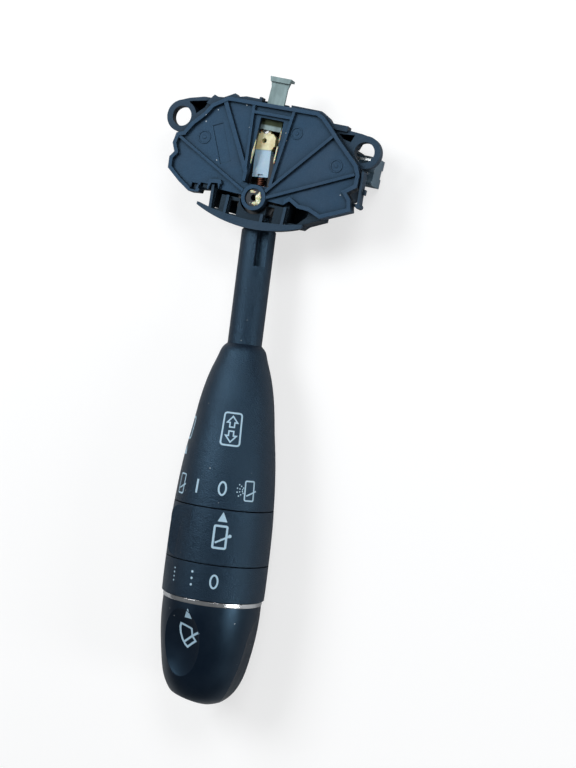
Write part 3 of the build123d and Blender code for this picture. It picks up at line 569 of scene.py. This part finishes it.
PIN_PITCH, PIN_FIRST_Y, PIN_COUNT = 2.2, 14.65, 4
PIN_W, PIN_RUN_Z, PIN_TIP_Z = 0.8, -3.4, -9.6
FINGER_SLOT = (-5.6, 3.6, 27.5, 34.0)    # x and y limits of the cancelling finger's way out
FINGER_SLOT_Z = 1.8


def solid(bm):
    """An object in the part's frame from a shape drawn in millimetres about the pivot."""
    bmesh.ops.scale(bm, verts=bm.verts, vec=(MM, MM, MM))
    bmesh.ops.translate(bm, verts=bm.verts, vec=BASE_AT)
    bmesh.ops.recalc_face_normals(bm, faces=bm.faces)
    return new_object("tool", bm)


def drawn_slab(points, low, high, inset=0.0):
    """The bmesh of a flat plate over an outline, or over one that lies inset within it."""
    bm = bmesh.new()
    face = bm.faces.new([bm.verts.new((x, y, low)) for x, y in points])
    if inset:
        face.normal_update()
        bmesh.ops.inset_region(bm, faces=[face], thickness=inset, use_even_offset=True, use_boundary=True)
        bmesh.ops.delete(bm, geom=[f for f in bm.faces if f is not face], context="FACES")
    grown = bmesh.ops.extrude_face_region(bm, geom=[face], use_keep_orig=True)["geom"]
    moved = [item for item in grown if isinstance(item, bmesh.types.BMVert)]
    bmesh.ops.translate(bm, verts=moved, vec=(0, 0, high - low))
    return bm


def slab(points, low, high, inset=0.0):
    """A flat plate over an outline, from one height to another."""
    return solid(drawn_slab(points, low, high, inset))


def block(x0, x1, y0, y1, low, high):
    return slab([(x0, y0), (x1, y0), (x1, y1), (x0, y1)], low, high)


def rod(x, y, r, low, high, sides=64):
    bm = bmesh.new()
    bmesh.ops.create_cone(bm, cap_ends=True, segments=sides, radius1=r, radius2=r, depth=high - low,
                          matrix=Matrix.Translation((x, y, (low + high) / 2)))
    return solid(bm)


def bar(start, end, width, low, high):
    """A straight rib between two points."""
    start, end = Vector(start), Vector(end)
    side = (end - start).orthogonal().normalized() * width / 2
    return slab([tuple(p) for p in (start + side, end + side, end - side, start - side)], low, high)


def alter(mode, piece, *tools):
    """Joins tools to a piece, cuts them out of it or keeps what they share."""
    for tool in tools:
        step = piece.modifiers.new("step", "BOOLEAN")
        step.operation, step.solver, step.object = mode, "MANIFOLD", tool
    return piece


def settle(piece, name, body, node, material):
    """Applies a piece's joins and cuts, drops the tools and puts the piece in its node's place."""
    finished = bpy.data.meshes.new_from_object(piece.evaluated_get(bpy.context.evaluated_depsgraph_get()))
    piece.modifiers.clear()
    piece.data = finished
    piece.name = name
    for tool in [item for item in bpy.context.scene.objects if item.name.startswith("tool")]:
        bpy.data.objects.remove(tool)
    bm = bmesh.new()
    bm.from_mesh(finished)
    bmesh.ops.remove_doubles(bm, verts=bm.verts, dist=0.002 * MM)
    bm.to_mesh(finished)
    bm.free()
    finished.materials.clear()
    finished.materials.append(material)
    finished.shade_smooth()
    finished.set_sharp_from_angle(angle=radians(30))
    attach(piece, body)
    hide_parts(node)
    return piece


def rounded_box(width, height, corner, per_corner=4):
    """Points round a rectangle with rounded corners."""
    points = []
    for cx, cy, start in ((1, 1, 0), (-1, 1, 90), (-1, -1, 180), (1, -1, 270)):
        for i in range(per_corner + 1):
            turn = radians(start + 90 * i / per_corner)
            points.append((cx * (width / 2 - corner) + corner * cos(turn),
                           cy * (height / 2 - corner) + corner * sin(turn)))
    return points


def flange_band():
    """The curved front shroud, thickest in the middle and bulging towards the lever."""
    lune = rod(0, 38.4, 49.0, *FLANGE_Z, sides=512)
    alter("DIFFERENCE", lune, rod(0, 76.3, 84.0, FLANGE_Z[0] - 1, FLANGE_Z[1] + 1, sides=900))
    return alter("INTERSECT", lune, block(*FLANGE_X, -12, -4, *FLANGE_Z))


def fixing_ear(x, y, strap, pocket, pocket_wall):
    """A fixing ear on its strap, with the blind pocket behind it."""
    ear = rod(x, y, EAR_R, 0, EAR_THICK)
    alter("UNION", ear, slab(strap, 0, EAR_THICK), slab(pocket_wall, -6.0, 0.0))
    hollow = slab(pocket, -5.0, EAR_THICK + 1)
    alter("DIFFERENCE", hollow, rod(x, y, EAR_R - 0.3, -7, EAR_THICK + 2))
    return alter("DIFFERENCE", ear, hollow, rod(x, y, EAR_HOLE_R, -7, EAR_THICK + 1))


def stem_opening():
    """The tool that cuts the rounded opening for the lever through the front wall."""
    x0, x1, z0, z1 = STEM_WINDOW
    bm = drawn_slab(rounded_box(x1 - x0, z1 - z0, 4.0), -4.0, 4.0)
    bmesh.ops.rotate(bm, verts=bm.verts, matrix=Matrix.Rotation(radians(90), 3, "X"))
    bmesh.ops.translate(bm, verts=bm.verts, vec=((x0 + x1) / 2, -9, (z0 + z1) / 2))
    return solid(bm)


def tray_and_box(body, low):
    """The deep box with its bays, and the wide tray under the cover, hollowed out."""
    alter("UNION", body, slab(DEEP_BAY, low, DECK_Z[1]), slab(COVER_OUTLINE, TRAY_Z, SEAT_Z),
          slab(BACK_LEDGE, TRAY_Z, SEAT_Z), slab(FRONT_BAY, TRAY_Z, DECK_Z[1]),
          slab(SIDE_BAY, SIDE_BAY_Z, SEAT_Z))
    alter("DIFFERENCE", body, slab(DEEP_OUTLINE, FLOOR_Z, SEAT_Z + 1, inset=WALL),
          slab(COVER_OUTLINE, TRAY_Z + TRAY_THICK, SEAT_Z + 1, inset=WALL),
          block(*DEEP_BAY_X, -9.0, 5.0, FLOOR_Z, DECK_Z[0]),
          block(*COVER_GAP, -1.0, 3.0, FLOOR_Z, DECK_Z[1] + 1),
          slab(SIDE_POCKET, SIDE_BAY_Z + 1.0, DECK_Z[1] + 1))
    alter("UNION", body, slab(BACK_LEDGE, SEAT_Z, LEDGE_TOP), block(*BACK_KNOB, TRAY_Z, LEDGE_TOP))
    alter("DIFFERENCE", body, block(*BACK_NOTCH, TRAY_Z - 1, SEAT_Z + 2))


def front_deck(body):
    """The front flange, its webs, the pockets behind it and the opening for the lever."""
    alter("UNION", body, flange_band(), bar((-15.7, 1.5), (-15.0, -6.6), 1.0, DECK_Z[0], FLANGE_Z[1]))
    for x in FLANGE_WEBS:
        back = -4.9 if abs(x) < 6 else -0.9
        alter("UNION", body, block(x - 0.5, x + 0.5, -7.9, back, DECK_Z[1], FLANGE_Z[1]))
    for pocket in DECK_POCKETS:
        alter("DIFFERENCE", body, block(*pocket, TRAY_Z - 1, DECK_Z[1] + 0.1))
    alter("DIFFERENCE", body, rod(0, 0, 5.5, DECK_Z[0] - 1, DECK_Z[1] + 1), stem_opening())


def connector_recess(body, recess):
    """The boss for the connector, its recess and the slot that its pins come out of."""
    x0, _, y0, y1 = CONNECTOR
    boss = [(x0 - 2.0, y0 - 1.8), (30.6, y0 - 1.8), (30.6, 17.0), (29.4, y1 + 1.0), (x0 - 2.0, y1 + 1.2)]
    last = PIN_FIRST_Y + (PIN_COUNT - 1) * PIN_PITCH
    alter("UNION", body, slab(boss, FLOOR_Z, -1.0))
    alter("DIFFERENCE", body, block(*recess, BOTTOM_Z - 1, PIN_RUN_Z + 1.2),
          block(x0 - 4, x0 + 1, PIN_FIRST_Y - PIN_W, last + PIN_W, PIN_RUN_Z - 0.6, PIN_RUN_Z + 0.6),
          slab(COVER_OUTLINE, SEAT_Z, RIM_Z + 1))


def side_guard(body):
    """The thin wall beside the cover, with its links, knuckle and stub."""
    alter("UNION", body, bar(*GUARD_LINE, 0.8, TRAY_Z, GUARD_TOP),
          rod(*GUARD_LINE[1], 0.9, TRAY_Z, GUARD_TOP), block(*GUARD_STUB, TRAY_Z, TRAY_Z + 2.0))
    for y in GUARD_LINKS:
        alter("UNION", body, block(33.2, 36.2, y, y + 1.0, TRAY_Z, TRAY_Z + 1.4))


def ribbed_sole(low, recess):
    sole = slab(DEEP_OUTLINE, BOTTOM_Z, low)
    alter("DIFFERENCE", sole, slab(DEEP_OUTLINE, BOTTOM_Z - 1, low + 1, inset=1.4))
    for x in SOLE_RIBS:
        rib = block(x - 0.6, x + 0.6, 0, 32, BOTTOM_Z, low)
        alter("UNION", sole, alter("INTERSECT", rib, slab(DEEP_OUTLINE, BOTTOM_Z, low)))
    return alter("DIFFERENCE", sole, block(*recess, BOTTOM_Z - 1, 0))


def housing_moulding():
    """A wide tray under the cover on a narrower, deeper box, with its ears, flange and side guard."""
    low = BOTTOM_Z + SOLE_THICK
    x0, x1, y0, y1 = CONNECTOR
    recess = (x0 - 0.1, x1 + 6, y0 - 0.1, y1 + 0.1)
    body = slab(DEEP_OUTLINE, low, SEAT_Z)
    tray_and_box(body, low)
    front_deck(body)
    alter("UNION", body, fixing_ear(-EAR_X, EAR_Y, LEFT_STRAP, LEFT_POCKET, LEFT_WALL),
          fixing_ear(EAR_X, EAR_Y, RIGHT_STRAP, RIGHT_POCKET, RIGHT_WALL),
          block(*RIGHT_LUG, 0, SEAT_Z + 1.0))
    connector_recess(body, recess)
    for hook in SNAP_HOOKS:
        alter("UNION", body, block(*hook, TRAY_Z, SEAT_Z + 0.6))
    alter("DIFFERENCE", body, block(*FINGER_SLOT, FINGER_SLOT_Z, SEAT_Z + 2))
    side_guard(body)
    alter("UNION", body, ribbed_sole(low, recess))
    return settle(body, "housing_moulding", "switch_base", "lower_housing", HOUSING_PLASTIC)


def board_plate():
    """The circuit board, cut to the deep box and round the carrier."""
    plate = slab(DEEP_OUTLINE, *BOARD_Z, inset=WALL + 0.4)
    alter("INTERSECT", plate, block(-32, 25.2, 3.4, 29, *BOARD_Z))
    alter("DIFFERENCE", plate, block(-9.5, 9.5, 0, 7.7, -13, 0))
    return settle(plate, "board_plate", "switch_base", "circuit_board", BOARD)


def connector_housing():
    """The plug socket, with its wall, its key slot and an open mouth below."""
    x0, x1, y0, y1 = CONNECTOR
    shell = block(x0, x1, y0, y1, BOTTOM_Z + 0.4, CONNECTOR_TOP)
    wall = CONNECTOR_WALL
    alter("DIFFERENCE", shell,
          block(x0 + wall, x1 - wall, y0 + wall, y1 - wall, BOTTOM_Z, CONNECTOR_TOP - 1.6),
          block(x1 - 0.4, x1 + 1, y0 + 3.2, y1 - 3.2, BOTTOM_Z, BOTTOM_Z + 3.0))
    for y in (y0 + wall, (y0 + y1) / 2, y1 - wall):
        alter("UNION", shell, block(x1 - 3.4, x1, y - 0.35, y + 0.35, CONNECTOR_TOP, CONNECTOR_TOP + 1.0))
    return settle(shell, "connector_housing", "switch_base", "connector_shell",
                  CONNECTOR_PLASTIC)


def terminal_pins():
    """Angled terminals: a run towards the board and a leg down into the plug's mouth."""
    pins = None
    half = PIN_W / 2
    for x, lift in zip(PIN_ROWS, (0.0, 0.6)):
        run_z = PIN_RUN_Z + lift
        for i in range(PIN_COUNT):
            y = PIN_FIRST_Y + i * PIN_PITCH
            pin = block(PIN_TAIL_X, x + half, y - half, y + half, run_z - half, run_z + half)
            alter("UNION", pin, block(x - half, x + half, y - half, y + half, PIN_TIP_Z, run_z))
            pins = pin if pins is None else alter("UNION", pins, pin)
    return settle(pins, "terminal_pins", "switch_base", "connector_pins", PIN_METAL)


housing_moulding()
board_plate()
connector_housing()
terminal_pins()


# ---------------------------------------------------------------- printed marks
PRINT_LINE = 0.75        # line width of the printed marks, millimetres
PRINT_LIFT = 0.02        # height of the ink over the plastic
RAY_START = 30.0         # outside every part of the lever


def outline(bm, points, width=PRINT_LINE):
    """A closed line of even width, inset from a flat shape."""
    face = bm.faces.new([bm.verts.new((*p, 0)) for p in points])
    face.normal_update()
    bmesh.ops.inset_region(bm, faces=[face], thickness=width, use_even_offset=True, use_boundary=True)
    bmesh.ops.delete(bm, geom=[face], context="FACES_ONLY")


def line(bm, start, end, width=PRINT_LINE):
    """A straight line of even width between two points."""
    start, end = Vector((*start, 0)), Vector((*end, 0))
    along = end - start
    place = Matrix.Translation((start + end) / 2) @ along.to_track_quat("X", "Z").to_matrix().to_4x4()
    made = bmesh.ops.create_grid(bm, x_segments=6, y_segments=1, size=0.5)
    bmesh.ops.scale(bm, verts=made["verts"], vec=(along.length, width, 1))
    bmesh.ops.transform(bm, verts=made["verts"], matrix=place)


def dot(bm, x, y, radius):
    bmesh.ops.create_circle(bm, cap_ends=True, radius=radius, segments=16,
                            matrix=Matrix.Translation((x, y, 0)))


def filled(bm, points):
    bm.faces.new([bm.verts.new((*p, 0)) for p in points])


def ellipse(width, height, count=28):
    return [(width / 2 * cos(2 * pi * i / count), height / 2 * sin(2 * pi * i / count)) for i in range(count)]


def print_on(name, node, body, station, degrees, draw, turned=0.0, size=1.0):
    """Draws a flat mark, up towards the pivot, and lays it on the surface of a lever piece."""
    bm = bmesh.new()
    draw(bm)
    bmesh.ops.rotate(bm, verts=bm.verts, matrix=Matrix.Rotation(radians(turned), 3, "Z"))
    bmesh.ops.scale(bm, verts=bm.verts, vec=(size, size, 1))
    long_edges = [e for e in bm.edges if e.calc_length() > 0.8]
    bmesh.ops.subdivide_edges(bm, edges=long_edges, cuts=5, use_grid_fill=True)
    bmesh.ops.triangulate(bm, faces=bm.faces)
    surface = BVHTree.FromObject(nodes[node], bpy.context.evaluated_depsgraph_get())
    middle = on_lever(station, degrees, RAY_START)
    hit = surface.ray_cast(middle, -outward(degrees))[0]
    radius = (hit - PIVOT - ALONG * (hit - PIVOT).dot(ALONG)).length / MM
    for vert in bm.verts:
        turn = degrees + vert.co.x / radius * 180 / pi
        start = on_lever(station - vert.co.y, turn, RAY_START)
        point, normal, _, _ = surface.ray_cast(start, -outward(turn))
        vert.co = point + normal * PRINT_LIFT * MM
    bmesh.ops.recalc_face_normals(bm, faces=bm.faces)
    if bm.faces and sum(f.normal.dot(outward(degrees)) for f in bm.faces) < 0:
        bmesh.ops.reverse_faces(bm, faces=bm.faces)
    piece = new_object(name, bm, INK)
    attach(piece, body)
    return piece


def mirror_adjust_mark(bm):
    """A rounded frame with an arrow up and an arrow down."""
    outline(bm, rounded_box(6.8, 11.5, 1.2), width=0.58)
    arrow = [(-1.05, 0.45), (-1.05, 2.0), (-2.3, 2.0), (0, 4.7), (2.3, 2.0), (1.05, 2.0), (1.05, 0.45)]
    outline(bm, arrow, width=0.46)
    outline(bm, [(x, -y) for x, y in reversed(arrow)], width=0.46)


def zero_mark(bm):
    outline(bm, ellipse(3.1, 5.0), width=0.62)


def one_mark(bm):
    line(bm, (0, -2.35), (0, 2.35), width=0.8)


def triangle_mark(bm):
    filled(bm, [(-1.65, -1.6), (1.65, -1.6), (0, 1.75)])


def rear_wiper_mark(bm):
    """The rear screen with its wiper arm."""
    outline(bm, rounded_box(3.8, 7.1, 0.6, 2), width=0.5)
    line(bm, (-1.05, -1.7), (2.55, 0.1), width=0.5)


def rear_washer_mark(bm):
    """The rear screen and wiper, with spray coming from the left."""
    rear_wiper_mark(bm)
    for reach in (1.7, 2.7, 3.6):
        for lift in (-0.62, -0.2, 0.22, 0.64):
            dot(bm, -0.9 - reach * cos(lift), reach * sin(lift) * 0.9, 0.24)


def ring_screen_mark(bm):
    """A rear screen with its wiper arm ending in a small ball."""
    outline(bm, rounded_box(5.1, 8.2, 0.7, 2))
    line(bm, (-1.5, -2.0), (3.0, 0.45), width=0.62)
    dot(bm, 3.3, 0.62, 0.6)


def screen_sector_mark(bm):
    """A swept windscreen with its wiper arm, for the front wiper knob."""
    outer = [(0.9 - 3.4 * cos(radians(t)), 4.5 * sin(radians(t))) for t in (-58, -36, -12, 12, 36, 58)]
    sector = [*outer, (2.6, 1.5), (2.1, -0.6), (2.9, -2.4)]
    outline(bm, sector, width=0.6)
    line(bm, (-1.9, -1.9), (4.2, 0.1), width=0.6)


def dots_in_a_row(count, pitch, radius):
    def draw(bm):
        for i in range(count):
            dot(bm, 0, (i - (count - 1) / 2) * pitch, radius)
    return draw


def lights_mark(bm):
    """A lamp with beams, at the far side of the grip."""
    outline(bm, rounded_box(3.7, 8.3, 1.5))
    for y in (-2.6, -0.9, 0.9, 2.6):
        line(bm, (-4.6, y), (-2.2, y), width=0.55)


# name, what carries it, its body, station, angle and drawing
MARKS = (
    ("mark_mirror_adjust", "grip_barrel", "stalk", 79.1, 17.3, mirror_adjust_mark),
    ("mark_side_lamp", "grip_barrel", "stalk", 80.7, -58.0, lights_mark),
    ("mark_side_triangle", "grip_barrel", "stalk", 88.4, -58.0, triangle_mark),
    ("mark_rear_wiper", "grip_barrel", "stalk", 99.8, -43.7, rear_wiper_mark),
    ("mark_one", "grip_barrel", "stalk", 99.6, -15.7, one_mark),
    ("mark_zero", "grip_barrel", "stalk", 99.2, 15.7, zero_mark),
    ("mark_rear_washer", "grip_barrel", "stalk", 99.2, 48.0, rear_washer_mark),
    ("mark_ring_triangle", "rear_wiper_ring", "wiper_ring", 108.7, 20.6, triangle_mark),
    ("mark_ring_screen", "rear_wiper_ring", "wiper_ring", 115.5, 19.9, ring_screen_mark),
    ("mark_collar_four_dots", "fixed_collar", "stalk", 130.5, -30.5, dots_in_a_row(4, 1.4, 0.3)),
    ("mark_collar_three_dots", "fixed_collar", "stalk", 130.5, -5.7, dots_in_a_row(3, 2.2, 0.42)),
    ("mark_collar_zero", "fixed_collar", "stalk", 130.7, 19.5, zero_mark),
    ("mark_knob_triangle", "end_knob", "knob", 142.9, -6.9, triangle_mark),
)
for mark in MARKS:
    print_on(*mark)
print_on("mark_knob_screen", "end_knob", "knob", 150.4, -9.5, screen_sector_mark, turned=20, size=1.2)


# ---------------------------------------------------------------- grease on the pivot and in the window
def grease_blob(name, body, centre, size, seed):
    """A small lump of grease, squashed on to what carries it."""
    bm = bmesh.new()
    bmesh.ops.create_icosphere(bm, subdivisions=3, radius=1.0)
    for vert in bm.verts:
        wave = sin(5.1 * vert.co.x + seed) + sin(6.7 * vert.co.y + 2.1 * seed) + sin(4.3 * vert.co.z + seed)
        vert.co *= 1 + 0.14 * wave
    bmesh.ops.scale(bm, verts=bm.verts, vec=Vector(size) * MM)
    bmesh.ops.translate(bm, verts=bm.verts, vec=Vector(centre) * MM)
    piece = new_object(name, bm, GREASE)
    piece.data.shade_smooth()
    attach(piece, body)
    return piece


BOSS = PIVOT / MM
BOSS_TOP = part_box("lever_carrier")[1].z / MM
WINDOW_X = (-4.35, 4.05)                 # walls of the cover's window
# name, body, centre and half size in millimetres, and seed of its lumps
GREASE_BLOBS = (
    ("grease_pivot_right", "carrier", (BOSS.x + 1.7, BOSS.y + 0.3, BOSS_TOP - 0.1), (0.9, 1.7, 0.45), 0.4),
    ("grease_pivot_front", "carrier", (BOSS.x + 0.9, BOSS.y - 1.9, BOSS_TOP - 0.1), (1.2, 0.7, 0.4), 1.9),
    ("grease_pivot_back", "carrier", (BOSS.x - 0.9, BOSS.y + 2.0, BOSS_TOP - 0.15), (1.3, 0.6, 0.35), 3.2),
    ("grease_pivot_edge", "carrier", (BOSS.x + 2.0, BOSS.y - 1.3, BOSS_TOP - 0.1), (1.0, 1.1, 0.4), 4.4),
    ("grease_window_left", "switch_base", (WINDOW_X[0], BOSS.y + 15.4, 4.6), (0.26, 3.2, 0.7), 0.9),
    ("grease_window_upper", "switch_base", (WINDOW_X[1], BOSS.y + 22.2, 4.6), (0.24, 2.7, 0.7), 2.3),
    ("grease_window_right", "switch_base", (WINDOW_X[1], BOSS.y + 15.6, 4.6), (0.26, 3.6, 0.7), 5.1),
)
for blob in GREASE_BLOBS:
    grease_blob(*blob)


# ---------------------------------------------------------------- floor, light and camera
def plane_piece(name, corners, material):
    """A single flat face."""
    bm = bmesh.new()
    bm.faces.new([bm.verts.new(c) for c in corners])
    return new_object(name, bm, material)


FLOOR_HALF = 1.6         # half the side of the floor, metres
FLOOR_GLOW = 0.235       # how far the backdrop is lifted towards white, as on a light table
GLOW_STRENGTH = 2.7


def pale_floor_material():
    """A pale matt sheet, lit a little from below so that the shadows on it stay light."""
    material, tree, shader, place = start_material("pale_floor", 0.9)
    mottle = add_node(tree, "ShaderNodeTexNoise", Scale=6.0, Detail=3.0)
    tree.links.new(place, mottle.inputs["Vector"])
    tone = mix_colour(tree, mottle.outputs["Fac"], (0.49, 0.49, 0.49), (0.52, 0.52, 0.52))
    tree.links.new(tone, shader.inputs["Base Color"])
    glow = add_node(tree, "ShaderNodeEmission", Color=(1.0, 1.0, 1.0, 1.0), Strength=GLOW_STRENGTH)
    ray = add_node(tree, "ShaderNodeLightPath")
    blend = add_node(tree, "ShaderNodeMixShader")
    tree.links.new(scaled(tree, ray.outputs["Is Camera Ray"], FLOOR_GLOW), blend.inputs["Fac"])
    tree.links.new(shader.outputs["BSDF"], blend.inputs[1])
    tree.links.new(glow.outputs["Emission"], blend.inputs[2])
    output = next(node for node in tree.nodes if node.type == "OUTPUT_MATERIAL")
    tree.links.new(blend.outputs["Shader"], output.inputs["Surface"])
    return material


def make_floor():
    """A floor that the grip and the back edge of the base both touch."""
    grip_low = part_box("fixed_collar")[0]
    base_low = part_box("lower_housing")[0].z
    base_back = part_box("fan_cover")[1].y
    slope = (base_low - grip_low.z) / (base_back - grip_low.y - 8 * MM)
    half = FLOOR_HALF
    height = [(y, base_low + slope * (y - base_back)) for y in (-half, half)]
    corners = [(-half, *height[0]), (half, *height[0]), (half, *height[1]), (-half, *height[1])]
    floor = plane_piece("floor", corners, pale_floor_material())


def area_light(name, place, aim, size, power, colour):
    """A rectangular lamp at one place, turned to face another."""
    lamp = bpy.data.lights.new(name, "AREA")
    lamp.shape = "RECTANGLE"
    lamp.size, lamp.size_y = size
    lamp.energy = power
    lamp.color = colour
    holder = bpy.data.objects.new(name, lamp)
    holder.location = place
    holder.rotation_mode = "QUATERNION"
    holder.rotation_quaternion = (Vector(aim) - Vector(place)).to_track_quat("-Z", "Y")
    bpy.context.scene.collection.objects.link(holder)


def make_light():
    world = bpy.data.worlds.new("studio")
    bpy.context.scene.world = world
    world.use_nodes = True
    background = world.node_tree.nodes["Background"]
    background.inputs["Color"].default_value = (0.95, 0.98, 1.0, 1.0)
    background.inputs["Strength"].default_value = 0.15
    middle = (0.01, -0.09, 0.0)
    area_light("window_left", (-0.50, 0.20, 0.72), middle, (0.42, 0.42), 5.8, (0.96, 0.98, 1.0))
    area_light("panel_top", (0.24, 0.45, 0.72), middle, (0.40, 0.25), 2.9, (0.96, 0.98, 1.0))
    area_light("strip_right", (0.80, -0.12, 0.30), middle, (0.20, 0.40), 2.4, (0.98, 0.99, 1.0))


CAMERA_AT = Vector((0.18575, -0.05539, 0.48547))
CAMERA_LOOK = Vector((-0.3124, -0.05142, -0.94856))
CAMERA_UP = Vector((-0.2378, 0.97097, 0.02569))
CAMERA_LENS = 70.3


def make_camera():
    data = bpy.data.cameras.new("camera")
    data.lens = CAMERA_LENS
    data.clip_start, data.clip_end = 0.01, 20.0
    camera = bpy.data.objects.new("camera", data)
    back = -CAMERA_LOOK.normalized()
    right = CAMERA_UP.cross(back).normalized()
    turn = Matrix((right, back.cross(right), back)).transposed()
    camera.matrix_world = Matrix.Translation(CAMERA_AT) @ turn.to_4x4()
    bpy.context.scene.collection.objects.link(camera)
    bpy.context.scene.camera = camera


make_floor()
make_light()
make_camera()
bpy.context.scene.view_settings.view_transform = "Standard"
